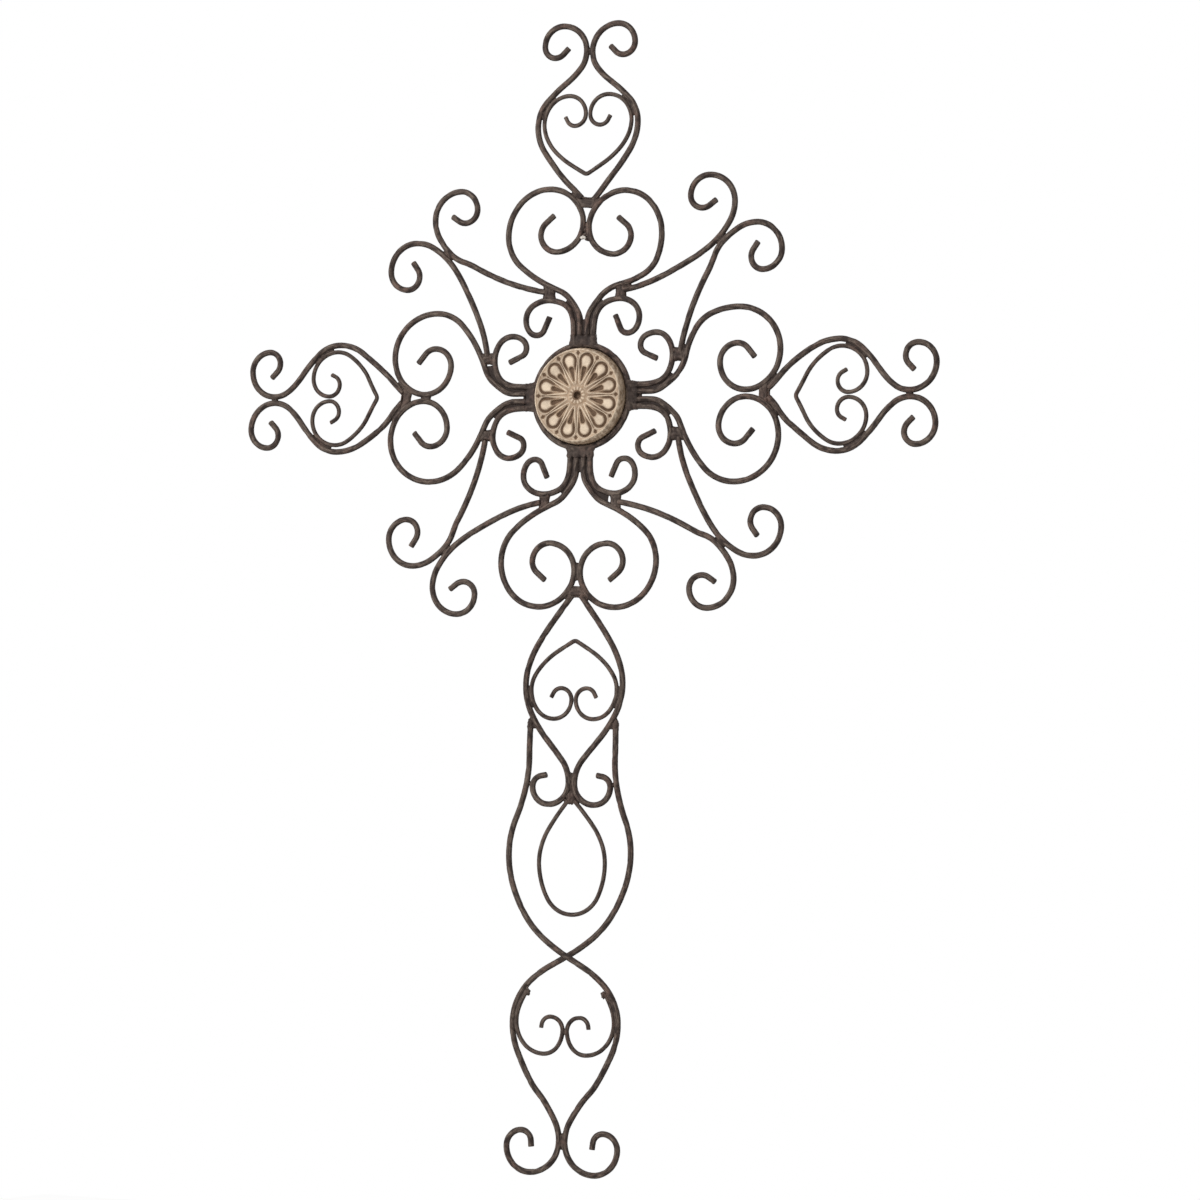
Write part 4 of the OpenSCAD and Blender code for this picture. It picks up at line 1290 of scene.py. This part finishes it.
def rosette_coat(cross):
    """Cream coat over a casting, with brown wash in the recesses, painted shade inside the petals'
    round ends and pale worn ridges.
    """
    c = cross.finish
    material, tree, shader, node = new_material("rosette_coat")
    place = node("TexCoord").outputs["Object"]
    wash = node("Attribute", attribute_name="wash").outputs["Fac"]
    pale = node("Attribute", attribute_name="pale").outputs["Fac"]
    mottle = noise_of(node, place, 420, 5, 0.65)
    cloud = noise_of(node, place, 90, 4, 0.6)
    speck = noise_of(node, place, 1500, 2, 0.6)
    stain_and_shade = math_of(node, "ADD", level(node, cloud, 0.42, 0.66, 0.0, 0.38), wash)
    broken = level(node, mottle, 0.3, 0.7, 0.75, 1.0)
    body = paint_over(node, tuple(c.cream),
                      (level(node, mottle, 0.38, 0.62, 0.0, 0.45), c.cream_high),
                      (pale, c.cream_high),
                      (math_of(node, "MULTIPLY", stain_and_shade, broken), c.wash),
                      (level(node, speck, 0.68, 0.8, 0.0, 0.4), c.wash))
    tree.links.new(body, shader.inputs["Base Color"])
    tree.links.new(level(node, wash, 0, 1, 0.5, 0.75), shader.inputs["Roughness"])
    shader.inputs["Specular IOR Level"].default_value = 0.25
    lift = node("Bump", {"Strength": 0.3, "Distance": 0.0001, "Height": mottle})
    tree.links.new(lift.outputs[0], shader.inputs["Normal"])
    return material


# ---- Stage ----


def seen_by_camera(tree):
    """A socket that is 1 where the camera or a mirror sees a point, else 0."""
    path = tree.nodes.new("ShaderNodeLightPath")
    seen = path.outputs["Is Camera Ray"]
    for key in ("Is Glossy Ray", "Is Transmission Ray"):
        most = tree.nodes.new("ShaderNodeMath")
        most.operation = "MAXIMUM"
        tree.links.new(seen, most.inputs[0])
        tree.links.new(path.outputs[key], most.inputs[1])
        seen = most.outputs[0]
    return seen


def white_surround(tree, strength):
    """A white background: at strength 1 where the camera or a mirror sees it, else as given."""
    mix = tree.nodes.new("ShaderNodeMixShader")
    tree.links.new(seen_by_camera(tree), mix.inputs[0])
    for socket, power in ((mix.inputs[1], strength), (mix.inputs[2], 1)):
        white = tree.nodes.new("ShaderNodeBackground")
        white.inputs[0].default_value, white.inputs[1].default_value = (1, 1, 1, 1), power
        tree.links.new(white.outputs[0], socket)
    return mix.outputs[0]


# Every lamp: its place in metres, width, height and power in watts. All aim at LAMP_TARGET.
LAMPS = {
    "front_lamp": ((-0.5, -2.5, 0.9), 1.2, 1.2, 50),
    "left_lamp": ((-2.4, -1.0, 0.6), 0.9, 1.4, 26),
    "back_lamp": ((0.8, 2.6, 0.8), 2.0, 2.0, 22),
}
LAMP_TARGET = (0, 0, -0.45)
FLOOR_HALF, FLOOR_DROP = 1.2, 0.15
# The camera's turn, tilt and roll in degrees, its lens in millimetres, and its place from the
# hub along its own right, up and forward directions in metres.
CAMERA_ANGLES = (24.38, -3.49, 1.53)
CAMERA_LENS = 129.48
CAMERA_FROM_HUB = (0.0143, -0.1604, -3.401)


def add_lamp(name, place, width, height, watts):
    """A soft rectangular lamp aimed at the cross's middle."""
    lamp = bpy.data.lights.new(name, "AREA")
    lamp.shape, lamp.size, lamp.size_y, lamp.energy = "RECTANGLE", width, height, watts
    holder = bpy.data.objects.new(name, lamp)
    bpy.context.scene.collection.objects.link(holder)
    aim = (Vector(LAMP_TARGET) - Vector(place)).to_track_quat("-Z", "Y")
    holder.matrix_world = Matrix.Translation(place) @ aim.to_matrix().to_4x4()


def add_camera():
    """The camera: below and to the right of the cross, turned up and in to it."""
    turn, tilt, roll = (math.radians(a) for a in CAMERA_ANGLES)
    level_right = Vector((math.cos(turn), math.sin(turn), 0))
    level_up = Vector((-math.sin(turn) * math.sin(tilt), math.cos(turn) * math.sin(tilt),
                       math.cos(tilt)))
    forward = Vector((-math.sin(turn) * math.cos(tilt), math.cos(turn) * math.cos(tilt),
                      -math.sin(tilt)))
    right = level_right * math.cos(roll) + level_up * math.sin(roll)
    up = level_up * math.cos(roll) - level_right * math.sin(roll)
    across, rise, away = CAMERA_FROM_HUB
    place = HUB + right * across + up * rise + forward * away
    data = bpy.data.cameras.new("camera")
    data.lens, data.sensor_width, data.clip_end = CAMERA_LENS, 36, 60
    camera = bpy.data.objects.new("camera", data)
    bpy.context.scene.collection.objects.link(camera)
    axes = Matrix((right, up, -forward)).transposed().to_4x4()
    camera.matrix_world = Matrix.Translation(place) @ axes
    bpy.context.scene.camera = camera


def set_stage():
    """A white floor well under the foot, a white surround, a front lamp and two fills."""
    scene = bpy.context.scene
    scene.view_settings.view_transform = "Standard"
    floor_z = CAD_BOX[0][2] - FLOOR_DROP
    mesh = bpy.data.meshes.new("floor_mesh")
    signs = ((-1, -1), (1, -1), (1, 1), (-1, 1))
    corners = [(x * FLOOR_HALF, y * FLOOR_HALF, floor_z) for x, y in signs]
    mesh.from_pydata(corners, [], [(0, 1, 2, 3)])
    floor = bpy.data.objects.new("floor", mesh)
    scene.collection.objects.link(floor)
    material, tree, shader, node = new_material("floor_paint")
    shader.inputs["Base Color"].default_value = (0.86, 0.86, 0.85, 1)
    shader.inputs["Roughness"].default_value = 0.8
    glow = node("Emission", {0: (1, 1, 1, 1), 1: 1.0})
    seen = node("Math", {0: seen_by_camera(tree), 1: 0.9}, operation="MULTIPLY")
    mix = node("MixShader", {0: seen.outputs[0], 1: shader.outputs[0], 2: glow.outputs[0]})
    tree.links.new(mix.outputs[0], tree.nodes["Material Output"].inputs[0])
    mesh.materials.append(material)
    floor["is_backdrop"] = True
    world = bpy.data.worlds.new("surround")
    scene.world = world
    world.use_nodes = True
    tree = world.node_tree
    tree.nodes.clear()
    output = tree.nodes.new("ShaderNodeOutputWorld")
    tree.links.new(white_surround(tree, 0.5), output.inputs[0])
    for name, lamp in LAMPS.items():
        add_lamp(name, *lamp)
    add_camera()


# ---- Operators ----


class CROSS_OT_hub(Operator):
    """Bend the hub ring and pour the four weld blocks on it"""
    bl_idname = "cross.hub"
    bl_label = "Hub ring and weld blocks"

    def execute(self, context):
        make_hub_ring(context.scene.cross)
        for arm in ARMS:
            make_saddle(context.scene.cross, arm)
        return {"FINISHED"}


class CROSS_OT_big_scrolls(Operator):
    """Bend the two big scrolls of each arm"""
    bl_idname = "cross.big_scrolls"
    bl_label = "Big scrolls"

    def execute(self, context):
        bend_wires(context.scene.cross, "big")
        return {"FINISHED"}


class CROSS_OT_hub_curls(Operator):
    """Bend the curls beside the hub and the scrolls in the corners"""
    bl_idname = "cross.hub_curls"
    bl_label = "Hub curls and corner scrolls"

    def execute(self, context):
        bend_wires(context.scene.cross, "hub", "corner")
        return {"FINISHED"}


class CROSS_OT_finials(Operator):
    """Bend the looped finials"""
    bl_idname = "cross.finials"
    bl_label = "Finials"

    def execute(self, context):
        bend_wires(context.scene.cross, "finial")
        return {"FINISHED"}


class CROSS_OT_hearts(Operator):
    """Bend the four hearts of thin wire"""
    bl_idname = "cross.hearts"
    bl_label = "Hearts"

    def execute(self, context):
        bend_wires(context.scene.cross, "heart")
        return {"FINISHED"}


class CROSS_OT_foot(Operator):
    """Bend the foot: shaft scrolls, crossed rails, teardrop and foot curls"""
    bl_idname = "cross.foot"
    bl_label = "Foot"

    def execute(self, context):
        bend_wires(context.scene.cross, "shaft", "rail", "foot", "drop")
        return {"FINISHED"}


class CROSS_OT_welds(Operator):
    """Weld the wires together wherever they meet"""
    bl_idname = "cross.welds"
    bl_label = "Welds"

    def execute(self, context):
        make_welds(context.scene.cross)
        return {"FINISHED"}


class CROSS_OT_rosette(Operator):
    """Cast the rosette and coat it"""
    bl_idname = "cross.rosette"
    bl_label = "Rosette"

    def execute(self, context):
        make_rosette(context.scene.cross)
        return {"FINISHED"}


class CROSS_OT_stage(Operator):
    """Lay the floor and set the lamps, the surround and the camera"""
    bl_idname = "cross.stage"
    bl_label = "Stage"

    def execute(self, context):
        set_stage()
        return {"FINISHED"}


STEPS = (CROSS_OT_hub, CROSS_OT_big_scrolls, CROSS_OT_hub_curls, CROSS_OT_finials, CROSS_OT_hearts,
         CROSS_OT_foot, CROSS_OT_welds, CROSS_OT_rosette, CROSS_OT_stage)


class CROSS_PT_panel(Panel):
    """Lists the cross's pieces and their sizes"""
    bl_idname = "CROSS_PT_panel"
    bl_label = "Wall Cross"
    bl_space_type = "VIEW_3D"
    bl_region_type = "UI"
    bl_category = "Wall Cross"

    def draw(self, context):
        for key, kind in GROUPS.items():
            box = self.layout.box()
            box.label(text=key.capitalize())
            for name in kind.__annotations__:
                box.prop(getattr(context.scene.cross, key), name)
        for step in STEPS:
            self.layout.operator(step.bl_idname)


CLASSES = (*GROUPS.values(), CrossSettings, *STEPS, CROSS_PT_panel)


def register():
    """Registers the classes and hangs the settings on the scene."""
    for item in CLASSES:
        bpy.utils.register_class(item)
    bpy.types.Scene.cross = PointerProperty(type=CrossSettings)


def unregister():
    """Takes the settings and the classes away again."""
    del bpy.types.Scene.cross
    for item in reversed(CLASSES):
        bpy.utils.unregister_class(item)


def main():
    """Builds every piece and the stage."""
    register()
    for step in STEPS:
        group, name = step.bl_idname.split(".")
        getattr(getattr(bpy.ops, group), name)()
    boxes = {"cad": CAD_BOX, "visual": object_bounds()}
    boxes = {key: [list(map(float, corner)) for corner in box] for key, box in boxes.items()}


if __name__ == "__main__":
    main()
